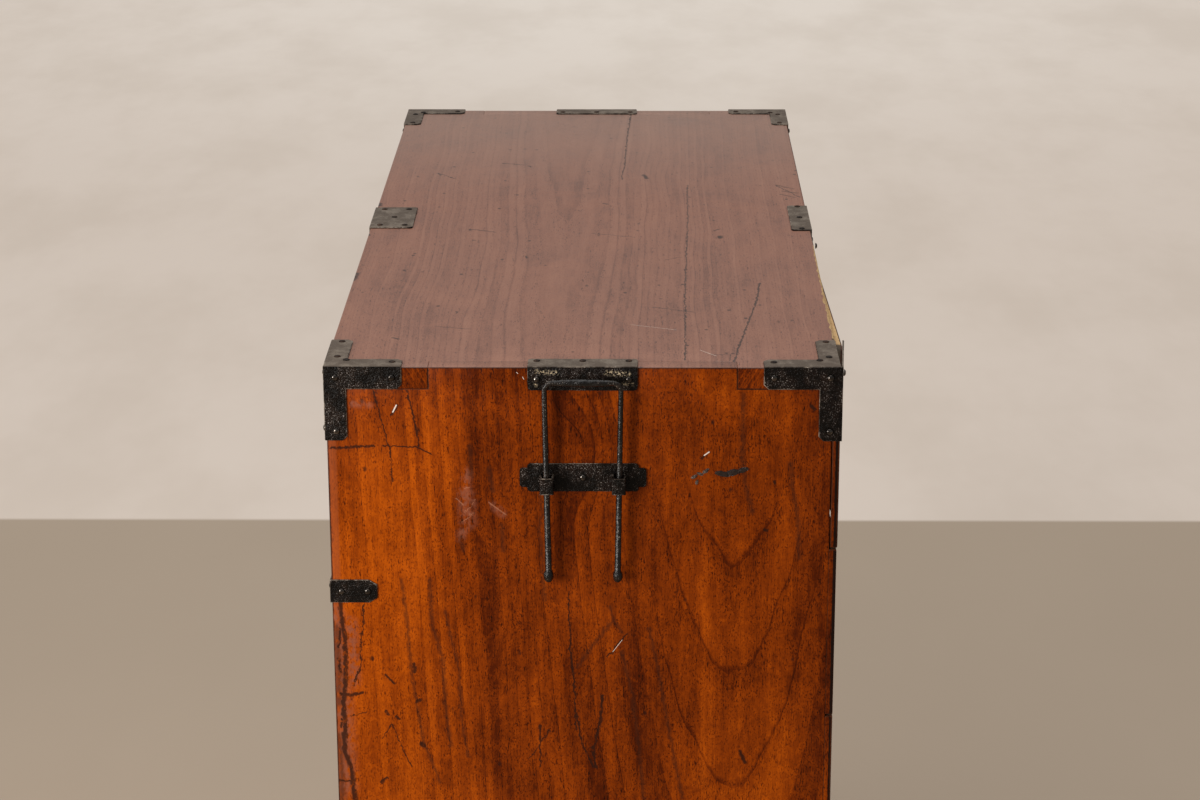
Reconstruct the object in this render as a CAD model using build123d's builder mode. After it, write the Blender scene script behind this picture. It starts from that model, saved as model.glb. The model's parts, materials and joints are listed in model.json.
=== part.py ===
"""Two-section clothing chest with iron brackets, pole-carrying handles and four locking drawers.

Units are millimetres. +X is to the right of someone facing the drawers, +Y is the back, +Z is up.
The origin is the middle of the lower case's underside.
"""

import math
import os

from build123d import *

# ---------------------------------------------------------------- driving dimensions
case_width = 978.0
case_depth = 430.0
upper_height = 475.0
lower_height = 500.0
board = 18.5  # thickness of the case boards
finger_count = 5  # fingers of the box joint at each corner of a case

rail_height = 20.0
rail_depth = 36.0
tenon_inset = 8.0
tenon_length = 10.0
tenon_height = 12.0
tenon_depth = 24.0
shelf_thickness = 9.0
shelf_groove = 6.0
upper_openings = (246.5, 171.5)  # drawer openings, from the bottom up
lower_openings = (238.0, 205.0)

plank_thickness = 6.5
plank_lip = 6.0  # what the top and bottom boards keep beyond the back planks
plank_count = 3
plank_seam = 0.8
bow_start = 95.0  # from here to the right, the chest's top back plank has sprung out
bow_peak = 405.0
bow_height = 6.8
bow_end_height = 0.6

iron = 1.5  # thickness of the sheet iron
arm_length = 64.0
arm_width = 17.5
long_arm_length = 75.0
end_arm_width = 18.5
nose = 4.0  # cut-off corners of the iron
end_bracket_length = 92.0
end_bracket_drop = 19.5
end_bracket_reach = 20.5
front_bracket_length = 78.0
front_bracket_reach = 41.0
rear_bracket_length = 94.0
rear_bracket_reach = 18.5
rear_bracket_drop = 20.0
strap_height = 21.0
strap_length = 39.0
strap_front_height = 18.0
strap_front_length = 59.0
strap_point = 7.0  # length of a strap's narrowing tip
strap_cut = 4.5

nail_inset = 8.3  # from the edges of the iron to most nails
far_nail = 55.5  # from a corner to the nail at the end of a short arm
corner_top_nail = 26.0  # along the long arm of a top corner, to its second nail
nail_stagger = 6.0  # keeps the nails of neighbouring flanges apart
end_nail_y = 38.5
rear_nail_x = 43.0
flange_nail_drop = 12.5
flange_nail_inset = 15.0
strap_nail_shares = (0.22, 0.54, 0.85)  # along a strap's front arm
plank_nail_spread = 12.0
plank_nail_inset = 9.0
plank_nail_sink = 1.6  # how deep their heads sit in the planks
crept_nail_x = 65.0
crept_nail_drop = 10.0
crept_nail_height = 3.5

nail_head_radius = 3.0
nail_top_radius = 1.0
nail_head_height = 1.9
nail_shank_radius = 1.2
nail_shank_length = 8.0
nail_point = 2.0

handle_offset = 9.0  # from a case's end to the axis of its carrying bar
crossbar_drop = 10.5
crossbar_bend = 7.0
leg_top_y = 32.0
leg_foot_y = 29.4
leg_neck_radius = 2.6
leg_foot_radius = 3.1
crossbar_radius = 3.6
knob_drop = 177.5
knob_radius = 4.6
knob_height = 10.5
knob_flat = 2.0

carry_plate_length = 107.0
carry_plate_height = 25.0
carry_plate_drop = 96.5
carry_plate_notch = 4.0
carry_plate_step = 6.5
carry_plate_round = 3.0
staple_drop = 100.2
staple_y = 30.3
staple_height = 14.5
staple_wall = 1.6
staple_half_width = 5.9
staple_reach = 14.5
prong_length = 12.0
prong_height = 11.5

drawer_gap = 1.2
drawer_recess = 1.0
drawer_arris = 0.8
front_lift = 1.0  # gap under a drawer's front board
front_thickness = 18.0
front_rebate = 10.0
wall_thickness = 12.0
wall_drop = 5.0  # from the top of a drawer's opening to its walls
back_gap = 6.0  # between a drawer and the back planks
sole_thickness = 8.0
sole_lift = 0.3  # running clearance under a drawer

bail_spacing = 510.0
post_spacing = 84.0
post_offset = 13.0  # from a drawer's front to the pivot of its bails
post_share = 0.56  # height of the posts on a drawer's front
post_shank_radius = 2.5
rosette_radius = 15.0
rosette_crown = 11.0
rosette_height = 3.2
rosette_hub = 7.0
eye_radius = 5.6
eye_bore = 2.5
eye_width = 6.0
pin_radius = 2.4
bail_radius = 3.5
bail_drop = 41.0
bail_overhang = 7.5  # from a post's middle to the bail's end
bail_flare = 4.5
bail_taper = 9.0
bail_bend_radius = 8.0
pin_inset = 5.5
clinch_length = 22.0
clinch_thickness = 1.6

lock_plate_radius = 54.0
lock_lobe_radius = 10.0
lock_lobe_count = 12
lock_lobe_depth = 3.0
lock_boss_radius = 27.0
lock_drop = 62.0  # middle of the lock plate below a drawer front's top edge
lock_case_width = 70.0
lock_case_height = 94.0
lock_case_thickness = 12.0
lock_case_round = 3.0
lock_case_drop = 2.0
keyhole_width = 3.6
keyhole_height = 14.0
key_slot_length = 20.0
key_slot_width = 8.0
bolt_width = 22.0
bolt_thickness = 6.0
bolt_length = 51.4
bolt_throw = 8.0
bolt_drop = 0.6  # from a drawer front's top to its bolt
bolt_slack = 0.6
bolt_chamfer = 0.8
mortise_slack = 2.0

# ---------------------------------------------------------------- worked-out places
half_width = case_width / 2
inner_x = half_width - board
front_y = -case_depth / 2
rear_y = case_depth / 2
finger = case_depth / finger_count
side_fingers = [front_y + finger * (i + 0.5) for i in range(1, finger_count, 2)]
plank_front_y = rear_y - plank_thickness
shelf_front_y = front_y + rail_depth
bow_slope = math.atan2(bow_height - bow_end_height, half_width - bow_peak)
drawer_front_y = front_y + drawer_recess
front_back_y = drawer_front_y + front_thickness
wall_front_y = front_back_y - front_rebate
drawer_rear_y = plank_front_y - back_gap
drawer_half = inner_x - drawer_gap
bolt_y = front_back_y + lock_case_thickness / 2
pivot_y = drawer_front_y - post_offset
post_places = []
for middle in (-bail_spacing / 2, bail_spacing / 2):
    post_places += [middle - post_spacing / 2, middle + post_spacing / 2]

os.makedirs("parts", exist_ok=True)


def write(piece, label):
    """Write one node."""
    piece.label = label
    export_step(piece, f"parts/{label}.step")


def write_group(pieces, label):
    """Write one node that holds several separate solids."""
    write(Compound(children=list(pieces)), label)


# ---------------------------------------------------------------- nails
def nail_at(x, y, z, normal):
    """Where a nail's head sits, with local Z pointing out of the surface."""
    return Plane(origin=(x, y, z), z_dir=normal).location


def iron_nail():
    """Domed nail. Its head stands on z = 0 and its shank runs down."""
    with BuildPart() as nail:
        with BuildSketch(Plane.XZ):
            with BuildLine():
                Polyline(
                    (nail_top_radius, nail_head_height),
                    (0, nail_head_height),
                    (0, -nail_shank_length),
                    (nail_shank_radius, nail_point - nail_shank_length),
                    (nail_shank_radius, 0),
                    (nail_head_radius, 0),
                )
                ThreePointArc(
                    (nail_head_radius, 0),
                    (nail_head_radius * 0.78, nail_head_height * 0.72),
                    (nail_top_radius, nail_head_height),
                )
            make_face()
        revolve(axis=Axis.Z)
    return nail.part


def reaches(nail, box):
    """True if a nail's shank runs through a bounding box."""
    spare = nail_shank_radius
    for depth in (0.5, 2.5, 4.5, 7.0):
        point = Plane(nail).from_local_coords(Vector(0, 0, -depth))
        if (
            box.min.X - spare < point.X < box.max.X + spare
            and box.min.Y - spare < point.Y < box.max.Y + spare
            and box.min.Z - spare < point.Z < box.max.Z + spare
        ):
            return True
    return False


def bore_for_nails(piece, nails):
    """Bore the open builder's piece for every nail that reaches it."""
    box = piece.part.bounding_box()
    hits = [nail for nail in nails if reaches(nail, box)]
    if hits:
        with Locations(*hits):
            Cylinder(
                nail_shank_radius,
                2 * nail_shank_length,
                mode=Mode.SUBTRACT,
            )


# ---------------------------------------------------------------- corner brackets
def angle_face(length_u, length_v, width_u, width_v):
    """Add an L of two arms to the open sketch, from its origin, with cut-off corners."""
    with BuildLine() as outline:
        Polyline(
            (0, 0),
            (length_u, 0),
            (length_u, width_u - nose),
            (length_u - nose, width_u),
            (width_v, width_u),
            (width_v, length_v - nose),
            (width_v - nose, length_v),
            (0, length_v),
            close=True,
        )
    make_face(outline.edges())


def corner_bracket(has_top, is_torn):
    """Bracket whose corner is at the origin, with the case in its +X +Y +Z octant.

    A torn one has come apart along the fold, where the sprung back plank pushes its long flange out.
    """
    slope = bow_slope if is_torn else 0.0
    lift = bow_end_height if is_torn else 0.0
    long_face = Plane(
        origin=(0, -lift, 0),
        x_dir=(math.cos(slope), -math.sin(slope), 0),
        z_dir=(-math.sin(slope), -math.cos(slope), 0),
    )
    skirt = lift + iron
    with BuildPart() as bracket:
        with BuildSketch(Plane.YZ):
            angle_face(arm_length, arm_length, end_arm_width, arm_width)
            with Locations((-skirt / 2, arm_length / 2)):
                Rectangle(skirt, arm_length)
        extrude(amount=-iron)
        with BuildSketch(long_face):
            angle_face(long_arm_length, arm_length, arm_width, arm_width)
            if is_torn:
                with Locations((long_arm_length / 2, -iron / 2)):
                    Rectangle(long_arm_length, iron)
        extrude(amount=iron)
        if has_top:
            with BuildSketch(Plane.XY):
                angle_face(long_arm_length, arm_length, arm_width, end_arm_width + 1.0)
                with Locations((-iron / 2, (arm_length - skirt) / 2)):
                    Rectangle(iron, arm_length + skirt)
                if not is_torn:
                    with Locations((long_arm_length / 2, -iron / 2)):
                        Rectangle(long_arm_length, iron)
            extrude(amount=-iron)
        nails = corner_nails(long_face, has_top, is_torn)
        bore_for_nails(bracket, [nail_at(*nail) for nail in nails])
    return bracket.part, nails


def corner_nails(long_face, has_top, is_torn):
    """A corner bracket's nails, as (x, y, z, outward normal). A torn one has lost two of them."""
    nails = []
    for y, z in ((nail_inset, nail_inset), (far_nail, nail_inset), (nail_inset, far_nail)):
        nails.append((-iron, y, z, (-1, 0, 0)))
    long_nails = [(nail_inset + nail_stagger, nail_inset)]
    if not is_torn:
        long_nails += [(long_arm_length - nail_inset, nail_inset), (nail_inset, far_nail)]
    for u, v in long_nails:
        nails.append((*long_face.from_local_coords(Vector(u, v, iron)), tuple(long_face.z_dir)))
    if has_top:
        for x, y in (
            (2 * nail_inset, 2 * nail_inset),
            (corner_top_nail, nail_inset),
            (nail_inset + nail_stagger / 2, far_nail),
            (long_arm_length - nail_stagger, nail_inset),
        ):
            nails.append((x, y, -iron, (0, 0, -1)))
    return nails


def corner_brackets(base_z, height, is_upper):
    """The eight corner brackets of a case, and their nails."""
    brackets, nails = [], []
    for at_top in (False, True):
        for at_rear in (False, True):
            for at_right in (False, True):
                has_top = is_upper and at_top
                bracket, local_nails = corner_bracket(has_top, has_top and at_rear and at_right)
                sx, sy, sz = (-1 if far else 1 for far in (at_right, at_rear, at_top))
                corner = (-sx * half_width, -sy * rear_y, base_z + height * at_top)
                for is_far, plane in ((at_right, Plane.YZ), (at_rear, Plane.XZ), (at_top, Plane.XY)):
                    if is_far:
                        bracket = bracket.mirror(plane)
                brackets.append(bracket.moved(Location(corner)))
                for x, y, z, normal in local_nails:
                    direction = (normal[0] * sx, normal[1] * sy, normal[2] * sz)
                    nails.append(
                        nail_at(corner[0] + x * sx, corner[1] + y * sy, corner[2] + z * sz, direction)
                    )
    return brackets, nails


# ---------------------------------------------------------------- straight brackets
def end_bracket(side, top_z, has_top):
    """Bracket over the middle of the top edge at one end of a case."""
    length = end_bracket_length
    drop = end_bracket_drop
    reach = end_bracket_reach
    face = side * half_width
    nails = []
    for y in (-end_nail_y, end_nail_y):
        nails.append(nail_at(face + side * iron, y, top_z - drop / 2, (side, 0, 0)))
    if has_top:
        for y in (-end_nail_y, 0.0, end_nail_y):
            nails.append(nail_at(face - side * (reach - nail_stagger), y, top_z + iron, (0, 0, 1)))
    with BuildPart() as bracket:
        with BuildSketch(Plane.YZ.offset(face)):
            with Locations((0, top_z - drop / 2)):
                RectangleRounded(length, drop, nose)
            with Locations((0, top_z - drop / 4)):
                Rectangle(length, drop / 2)
        extrude(amount=side * iron)
        if has_top:
            with BuildSketch(Plane.XY.offset(top_z)):
                with Locations((face - side * reach / 2, 0)):
                    RectangleRounded(reach, length, nose)
                with Locations((face - side * (reach / 2 - iron) / 2, 0)):
                    Rectangle(reach / 2 + iron, length)
            extrude(amount=iron)
        bore_for_nails(bracket, nails)
    return bracket.part, nails


def long_edge_bracket(back, top_z):
    """Bracket over the middle of the upper case's front or back top edge."""
    if back > 0:
        length = rear_bracket_length
        reach = rear_bracket_reach
        drop = rear_bracket_drop
        top_nails = [(x, nail_inset) for x in (-rear_nail_x, 0.0, rear_nail_x)]
    else:
        length = front_bracket_length
        reach = front_bracket_reach
        drop = arm_width
        nail_x = length / 2 - nail_inset
        top_nails = [(x, y) for x in (-nail_x, nail_x) for y in (nail_inset, reach - nail_inset)]
        top_nails.append((0.0, reach / 2))
    face = back * rear_y
    flange_x = length / 2 - flange_nail_inset
    nails = [nail_at(x, face - back * y, top_z + iron, (0, 0, 1)) for x, y in top_nails]
    for x in (-flange_x, flange_x):
        nails.append(nail_at(x, face + back * iron, top_z - flange_nail_drop, (0, back, 0)))
    with BuildPart() as bracket:
        with BuildSketch(Plane.XY.offset(top_z)):
            with Locations((0, face - back * reach / 2)):
                RectangleRounded(length, reach, nose)
            with Locations((0, face - back * (reach / 2 - iron) / 2)):
                Rectangle(length, reach / 2 + iron)
        extrude(amount=iron)
        with BuildSketch(Plane.XZ.offset(-face)):
            with Locations((0, top_z - drop / 2)):
                RectangleRounded(length, drop, nose)
            with Locations((0, top_z - drop / 4)):
                Rectangle(length, drop / 2)
        extrude(amount=-back * iron)
        bore_for_nails(bracket, nails)
    return bracket.part, nails


def strap_face(start, tip, middle, height):
    """Add a strap to the open sketch, from its fold at start to its nose at tip."""
    half = height / 2
    slant = math.copysign(strap_point, tip - start)
    with BuildLine() as outline:
        Polyline(
            (start, middle - half),
            (tip - slant, middle - half),
            (tip, middle - half + strap_cut),
            (tip, middle + half - strap_cut),
            (tip - slant, middle + half),
            (start, middle + half),
            close=True,
        )
    make_face(outline.edges())


def rail_strap(side, rail_z):
    """Strap that ties the end of a drawer rail to the side board, round the front edge."""
    face = side * half_width
    nails = []
    for y in (nail_inset, strap_length - nail_inset):
        nails.append(nail_at(face + side * iron, front_y + y, rail_z, (side, 0, 0)))
    for share in strap_nail_shares:
        x = face - side * share * strap_front_length
        nails.append(nail_at(x, front_y - iron, rail_z, (0, -1, 0)))
    with BuildPart() as strap:
        with BuildSketch(Plane.YZ.offset(face)):
            strap_face(front_y - iron, front_y + strap_length, rail_z, strap_height)
        extrude(amount=side * iron)
        with BuildSketch(Plane.XZ.offset(-front_y)):
            strap_face(face + side * iron, face - side * strap_front_length, rail_z, strap_front_height)
        extrude(amount=iron)
        bore_for_nails(strap, nails)
    return strap.part, nails


# ---------------------------------------------------------------- pole-carrying handles
def staple(side, hand, middle_z):
    """Flat iron bent round one leg of a carrying bar, with its two prongs."""
    face = side * half_width
    start = face + side * iron
    end = face + side * staple_reach
    low_z = middle_z - staple_height / 2
    inner_half = staple_half_width - staple_wall
    with BuildPart() as loop:
        with BuildSketch(Plane.XY.offset(low_z)):
            with Locations(((start + end) / 2, hand * staple_y)):
                Rectangle(staple_reach - iron, 2 * staple_half_width)
            with Locations(((start + end - side * staple_wall) / 2, hand * staple_y)):
                Rectangle(staple_reach - iron - staple_wall, 2 * inner_half, mode=Mode.SUBTRACT)
        extrude(amount=staple_height)
        outer_edges = loop.edges().filter_by(Axis.Z).group_by(Axis.X)[-1 if side > 0 else 0]
        fillet(outer_edges, staple_wall * 0.9)
        with BuildSketch(Plane.YZ.offset(start)):
            prong_faces(hand, middle_z)
        extrude(amount=-side * prong_length)
    return loop.part


def prong_faces(hand, middle_z):
    """Add the sections of a staple's two prongs to the open sketch."""
    inset = staple_half_width - staple_wall / 2
    with Locations((hand * staple_y - inset, middle_z), (hand * staple_y + inset, middle_z)):
        Rectangle(staple_wall, prong_height)


def carry_plate(side, top_z):
    """Notched plate and its two staples, which guide a carrying bar, and the plate's nail."""
    face = side * half_width
    middle_z = top_z - carry_plate_drop
    staple_z = top_z - staple_drop
    nails = [nail_at(face + side * iron, 0.0, middle_z, (side, 0, 0))]
    narrow = carry_plate_height - 2 * carry_plate_notch
    short = carry_plate_length - 2 * carry_plate_step
    with BuildPart() as plate:
        with BuildSketch(Plane.YZ.offset(face)):
            with Locations((0, middle_z)):
                RectangleRounded(carry_plate_length, narrow, carry_plate_round)
                RectangleRounded(short, carry_plate_height, carry_plate_round)
        extrude(amount=side * iron)
        for hand in (-1, 1):
            with BuildSketch(Plane.YZ.offset(face)):
                prong_faces(hand, staple_z)
            extrude(amount=side * iron, mode=Mode.SUBTRACT)
        bore_for_nails(plate, nails)
    return [plate.part, staple(side, -1, staple_z), staple(side, 1, staple_z)], nails


def carry_handle(side, top_z):
    """Forged bar bent to an upside-down U. It slides up through the staples until its knobs stop it."""
    x = side * (half_width + handle_offset)
    bar_z = top_z - crossbar_drop
    bend_z = bar_z - crossbar_bend
    bend_y = leg_top_y - crossbar_bend
    knob_z = top_z - knob_drop
    with BuildPart() as bar:
        for hand in (-1, 1):
            with BuildSketch(Plane(origin=(x, hand * leg_top_y, bend_z))):
                Circle(leg_neck_radius)
            revolve(axis=Axis((x, hand * bend_y, bend_z), (hand, 0, 0)), revolution_arc=90)
            with BuildSketch(Plane(origin=(x, hand * leg_top_y, bend_z))):
                Circle(leg_neck_radius)
            with BuildSketch(Plane(origin=(x, hand * leg_foot_y, knob_z))):
                Circle(leg_foot_radius)
            loft()
            knob_middle = (x, hand * leg_foot_y, knob_z)
            with BuildSketch(Plane(origin=knob_middle, x_dir=(1, 0, 0), z_dir=(0, -1, 0))):
                with BuildLine():
                    Line((0, 0), (leg_foot_radius, 0))
                    ThreePointArc(
                        (leg_foot_radius, 0),
                        (knob_radius, -knob_height * 0.55),
                        (knob_flat, -knob_height),
                    )
                    Polyline((knob_flat, -knob_height), (0, -knob_height), (0, 0))
                make_face()
            revolve(axis=Axis(knob_middle, (0, 0, 1)))
        with BuildSketch(Plane.XY.offset(bar_z)):
            with BuildLine():
                Line((x + leg_neck_radius, -bend_y), (x, -bend_y))
                Line((x, -bend_y), (x, bend_y))
                Line((x, bend_y), (x + leg_neck_radius, bend_y))
                ThreePointArc(
                    (x + leg_neck_radius, bend_y),
                    (x + crossbar_radius, 0),
                    (x + leg_neck_radius, -bend_y),
                )
            make_face()
        revolve(axis=Axis((x, 0, bar_z), (0, 1, 0)))
    return bar.part


# ---------------------------------------------------------------- case boards
def bolt_mortise(low_z):
    """Sink a mortise into the open part, for the bolt of the drawer below."""
    with BuildSketch(Plane.XY.offset(low_z)) as mortise:
        with Locations((0, bolt_y)):
            Rectangle(bolt_width + mortise_slack, bolt_thickness + mortise_slack)
    extrude(mortise.sketch, amount=bolt_throw + mortise_slack, mode=Mode.SUBTRACT)


def end_board(low_z, is_top, nails):
    """Top or bottom board of a case, notched for the sides' fingers and rebated for the back."""
    rebate_z = low_z if is_top else low_z + plank_lip
    with BuildPart() as panel:
        with BuildSketch(Plane.XY.offset(low_z)):
            Rectangle(case_width, case_depth)
            for y in side_fingers:
                with Locations((half_width - board / 2, y), (board / 2 - half_width, y)):
                    Rectangle(board, finger, mode=Mode.SUBTRACT)
        extrude(amount=board)
        with BuildSketch(Plane.XY.offset(rebate_z)):
            with Locations((0, rear_y - plank_thickness / 2)):
                Rectangle(case_width, plank_thickness)
        extrude(amount=board - plank_lip, mode=Mode.SUBTRACT)
        if is_top:
            bolt_mortise(low_z)
        bore_for_nails(panel, nails)
    return panel.part


def side_board(side, base_z, height, rail_z, nails):
    """Side board with its fingers, the rail's mortise, the shelf's groove and the staples' slots."""
    middle_z = base_z + height / 2
    depth = plank_front_y - front_y
    shelf_length = plank_front_y - shelf_front_y
    shelf_z = rail_z + (rail_height - shelf_thickness) / 2
    staple_z = base_z + height - staple_drop
    inner_face = Plane.YZ.offset(side * inner_x)
    with BuildPart() as panel:
        with BuildSketch(inner_face):
            with Locations((front_y + depth / 2, middle_z)):
                Rectangle(depth, height - 2 * board)
            for y in side_fingers:
                with Locations((y, middle_z)):
                    Rectangle(finger, height)
        extrude(amount=side * board)
        with BuildSketch(inner_face):
            with Locations((front_y + tenon_inset + tenon_depth / 2, rail_z)):
                Rectangle(tenon_depth, tenon_height)
        extrude(amount=side * tenon_length, mode=Mode.SUBTRACT)
        with BuildSketch(inner_face):
            with Locations((shelf_front_y + shelf_length / 2, shelf_z)):
                Rectangle(shelf_length, shelf_thickness)
        extrude(amount=side * shelf_groove, mode=Mode.SUBTRACT)
        with BuildSketch(Plane.YZ.offset(side * half_width)):
            for hand in (-1, 1):
                prong_faces(hand, staple_z)
        extrude(amount=-side * (prong_length - iron), mode=Mode.SUBTRACT)
        bore_for_nails(panel, nails)
    return panel.part


def drawer_rail(rail_z, nails):
    """Front rail between two drawers, with its stub tenons and a bolt mortise."""
    with BuildPart() as rail:
        with BuildSketch(Plane.XZ.offset(-front_y)):
            with Locations((0, rail_z)):
                Rectangle(2 * inner_x, rail_height)
        extrude(amount=-rail_depth)
        with BuildSketch(Plane.XZ.offset(-front_y - tenon_inset)):
            with Locations((0, rail_z)):
                Rectangle(2 * (inner_x + tenon_length), tenon_height)
        extrude(amount=-tenon_depth)
        bolt_mortise(rail_z - rail_height / 2)
        bore_for_nails(rail, nails)
    return rail.part


def dust_shelf(rail_z):
    """Thin board behind the rail, which the upper drawer slides on."""
    length = plank_front_y - shelf_front_y
    with BuildPart() as shelf:
        with BuildSketch(Plane.XY.offset(rail_z + rail_height / 2)):
            with Locations((0, shelf_front_y + length / 2)):
                Rectangle(2 * (inner_x + shelf_groove), length)
        extrude(amount=-shelf_thickness)
    return shelf.part


def plank_edge(y, is_sprung):
    """Plan of one long face of a back plank: straight, or sprung out at its right end."""
    if is_sprung:
        Line((-half_width, y), (bow_start, y))
        Spline(
            (bow_start, y),
            (bow_peak, y + bow_height),
            tangents=((1, 0), (1, 0.02)),
        )
        Line((bow_peak, y + bow_height), (half_width, y + bow_end_height))
    else:
        Line((-half_width, y), (half_width, y))


def back_planks(base_z, height, is_upper, nails):
    """Horizontal planks nailed over the rear edges of the sides."""
    pitch = (height - 2 * plank_lip) / plank_count
    planks = []
    for i in range(plank_count):
        is_last = i == plank_count - 1
        is_sprung = is_upper and is_last
        end = bow_end_height if is_sprung else 0.0
        with BuildPart() as plank:
            with BuildSketch(Plane.XY.offset(base_z + plank_lip + i * pitch)):
                with BuildLine():
                    plank_edge(plank_front_y, is_sprung)
                    Line((half_width, plank_front_y + end), (half_width, rear_y + end))
                    plank_edge(rear_y, is_sprung)
                    Line((-half_width, rear_y), (-half_width, plank_front_y))
                make_face()
            extrude(amount=pitch - (0.0 if is_last else plank_seam))
            bore_for_nails(plank, nails)
            box = plank.part.bounding_box()
            sunk = [nail for nail in plank_nails(base_z, height, is_upper) if reaches(nail, box)]
            with Locations(*sunk):
                Cylinder(
                    nail_head_radius,
                    2 * plank_nail_sink,
                    align=(Align.CENTER, Align.CENTER, Align.MIN),
                    mode=Mode.SUBTRACT,
                )
        planks.append(plank.part)
    return planks


def plank_nails(base_z, height, is_upper):
    """Two nails at each end of each back plank, clear of the corner brackets.

    The sprung plank has lost those at its right end, and one in its middle has crept out.
    """
    pitch = (height - 2 * plank_lip) / plank_count
    nails = []
    for i in range(plank_count):
        is_sprung = is_upper and i == plank_count - 1
        middle_z = base_z + plank_lip + (i + 0.5) * pitch
        nail_x = half_width - plank_nail_inset
        for z in (middle_z - plank_nail_spread, middle_z + plank_nail_spread):
            nails.append(nail_at(-nail_x, rear_y - plank_nail_sink, z, (0, 1, 0)))
            if not is_sprung:
                nails.append(nail_at(nail_x, rear_y - plank_nail_sink, z, (0, 1, 0)))
        if is_sprung:
            crept_z = base_z + height - crept_nail_drop
            nails.append(nail_at(crept_nail_x, rear_y + crept_nail_height, crept_z, (0, 1, 0)))
    return nails


def build_case(name, base_z, height, openings, is_upper):
    """Write every node of one case."""
    top_z = base_z + height
    rail_z = base_z + board + openings[0] + rail_height / 2

    brackets, nails = corner_brackets(base_z, height, is_upper)
    plates = []
    for side in (1, -1):
        for bracket, bracket_nails in (end_bracket(side, top_z, is_upper), rail_strap(side, rail_z)):
            brackets.append(bracket)
            nails += bracket_nails
        pieces, plate_nails = carry_plate(side, top_z)
        plates += pieces
        nails += plate_nails
    if is_upper:
        for back in (-1, 1):
            bracket, bracket_nails = long_edge_bracket(back, top_z)
            brackets.append(bracket)
            nails += bracket_nails
    nails += plank_nails(base_z, height, is_upper)

    write(end_board(top_z - board, True, nails), f"{name}_top_board")
    write(end_board(base_z, False, nails), f"{name}_bottom_board")
    write(drawer_rail(rail_z, nails), f"{name}_drawer_rail")
    write(dust_shelf(rail_z), f"{name}_dust_shelf")
    for side, hand in ((1, "right"), (-1, "left")):
        write(side_board(side, base_z, height, rail_z, nails), f"{name}_{hand}_side")
        write(carry_handle(side, top_z), f"{name}_carry_handle_{hand}")
    write_group(back_planks(base_z, height, is_upper, nails), f"{name}_back_planks")
    write_group(brackets, f"{name}_iron_brackets")
    write_group(plates, f"{name}_carry_plates")
    nail = iron_nail()
    write_group([nail.moved(place) for place in nails], f"{name}_nails")


# ---------------------------------------------------------------- drawers
def drawer_front(low_z, high_z, post_z, sole_z, wall_top):
    """Front board, rebated for the walls and the sole, bored for the posts and the key."""
    face = Plane.XZ.offset(-drawer_front_y)
    rebate_y = front_back_y - front_rebate / 2
    with BuildPart() as panel:
        with BuildSketch(face):
            with Locations((0, (low_z + high_z) / 2)):
                Rectangle(2 * drawer_half, high_z - low_z)
        extrude(amount=-front_thickness)
        chamfer(panel.faces().sort_by(Axis.Y)[0].edges(), drawer_arris)
        with BuildSketch(Plane.XY.offset(low_z)):
            with Locations((0, rebate_y)):
                Rectangle(2 * drawer_half, front_rebate)
        extrude(amount=sole_z + sole_thickness - low_z, mode=Mode.SUBTRACT)
        with BuildSketch(Plane.XY.offset(sole_z + sole_thickness)):
            wall_x = drawer_half - wall_thickness / 2
            with Locations((-wall_x, rebate_y), (wall_x, rebate_y)):
                Rectangle(wall_thickness, front_rebate)
        extrude(amount=wall_top - sole_z - sole_thickness, mode=Mode.SUBTRACT)
        with BuildSketch(face):
            with Locations(*[(x, post_z) for x in post_places]):
                Circle(post_shank_radius)
            with Locations((0, high_z - lock_drop)):
                SlotOverall(key_slot_length, key_slot_width, rotation=90)
        extrude(amount=-front_thickness, mode=Mode.SUBTRACT)
    return panel.part


def drawer_walls(low_z, high_z):
    """Left and right walls, notched at the back for the back board's tongue."""
    length = drawer_rear_y - wall_front_y
    middle_z = (low_z + high_z) / 2
    walls = []
    for side in (-1, 1):
        with BuildPart() as wall:
            with BuildSketch(Plane.YZ.offset(side * (drawer_half - wall_thickness))):
                with Locations((wall_front_y + length / 2, middle_z)):
                    Rectangle(length, high_z - low_z)
                with Locations((drawer_rear_y - wall_thickness / 2, middle_z)):
                    Rectangle(wall_thickness, (high_z - low_z) / 3, mode=Mode.SUBTRACT)
            extrude(amount=side * wall_thickness)
        walls.append(wall.part)
    return walls


def drawer_back(low_z, high_z):
    """Back board, with a tongue at each end that fills the walls' notches."""
    with BuildPart() as panel:
        with BuildSketch(Plane.XZ.offset(-drawer_rear_y)):
            with Locations((0, (low_z + high_z) / 2)):
                Rectangle(2 * (drawer_half - wall_thickness), high_z - low_z)
                Rectangle(2 * drawer_half, (high_z - low_z) / 3)
        extrude(amount=wall_thickness)
    return panel.part


def drawer_sole(sole_z):
    """Sole board under the walls, let into the front."""
    with BuildPart() as panel:
        with BuildSketch(Plane.XY.offset(sole_z)):
            with Locations((0, (wall_front_y + drawer_rear_y) / 2)):
                Rectangle(2 * drawer_half, drawer_rear_y - wall_front_y)
        extrude(amount=sole_thickness)
    return panel.part


def keyhole(lock_z):
    """Cut a keyhole out of the open sketch: a round eye over a slot."""
    with Locations((0, lock_z)):
        Rectangle(keyhole_width, keyhole_height, mode=Mode.SUBTRACT)
    with Locations((0, lock_z + keyhole_height / 2)):
        Circle(keyhole_width * 0.8, mode=Mode.SUBTRACT)


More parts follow.
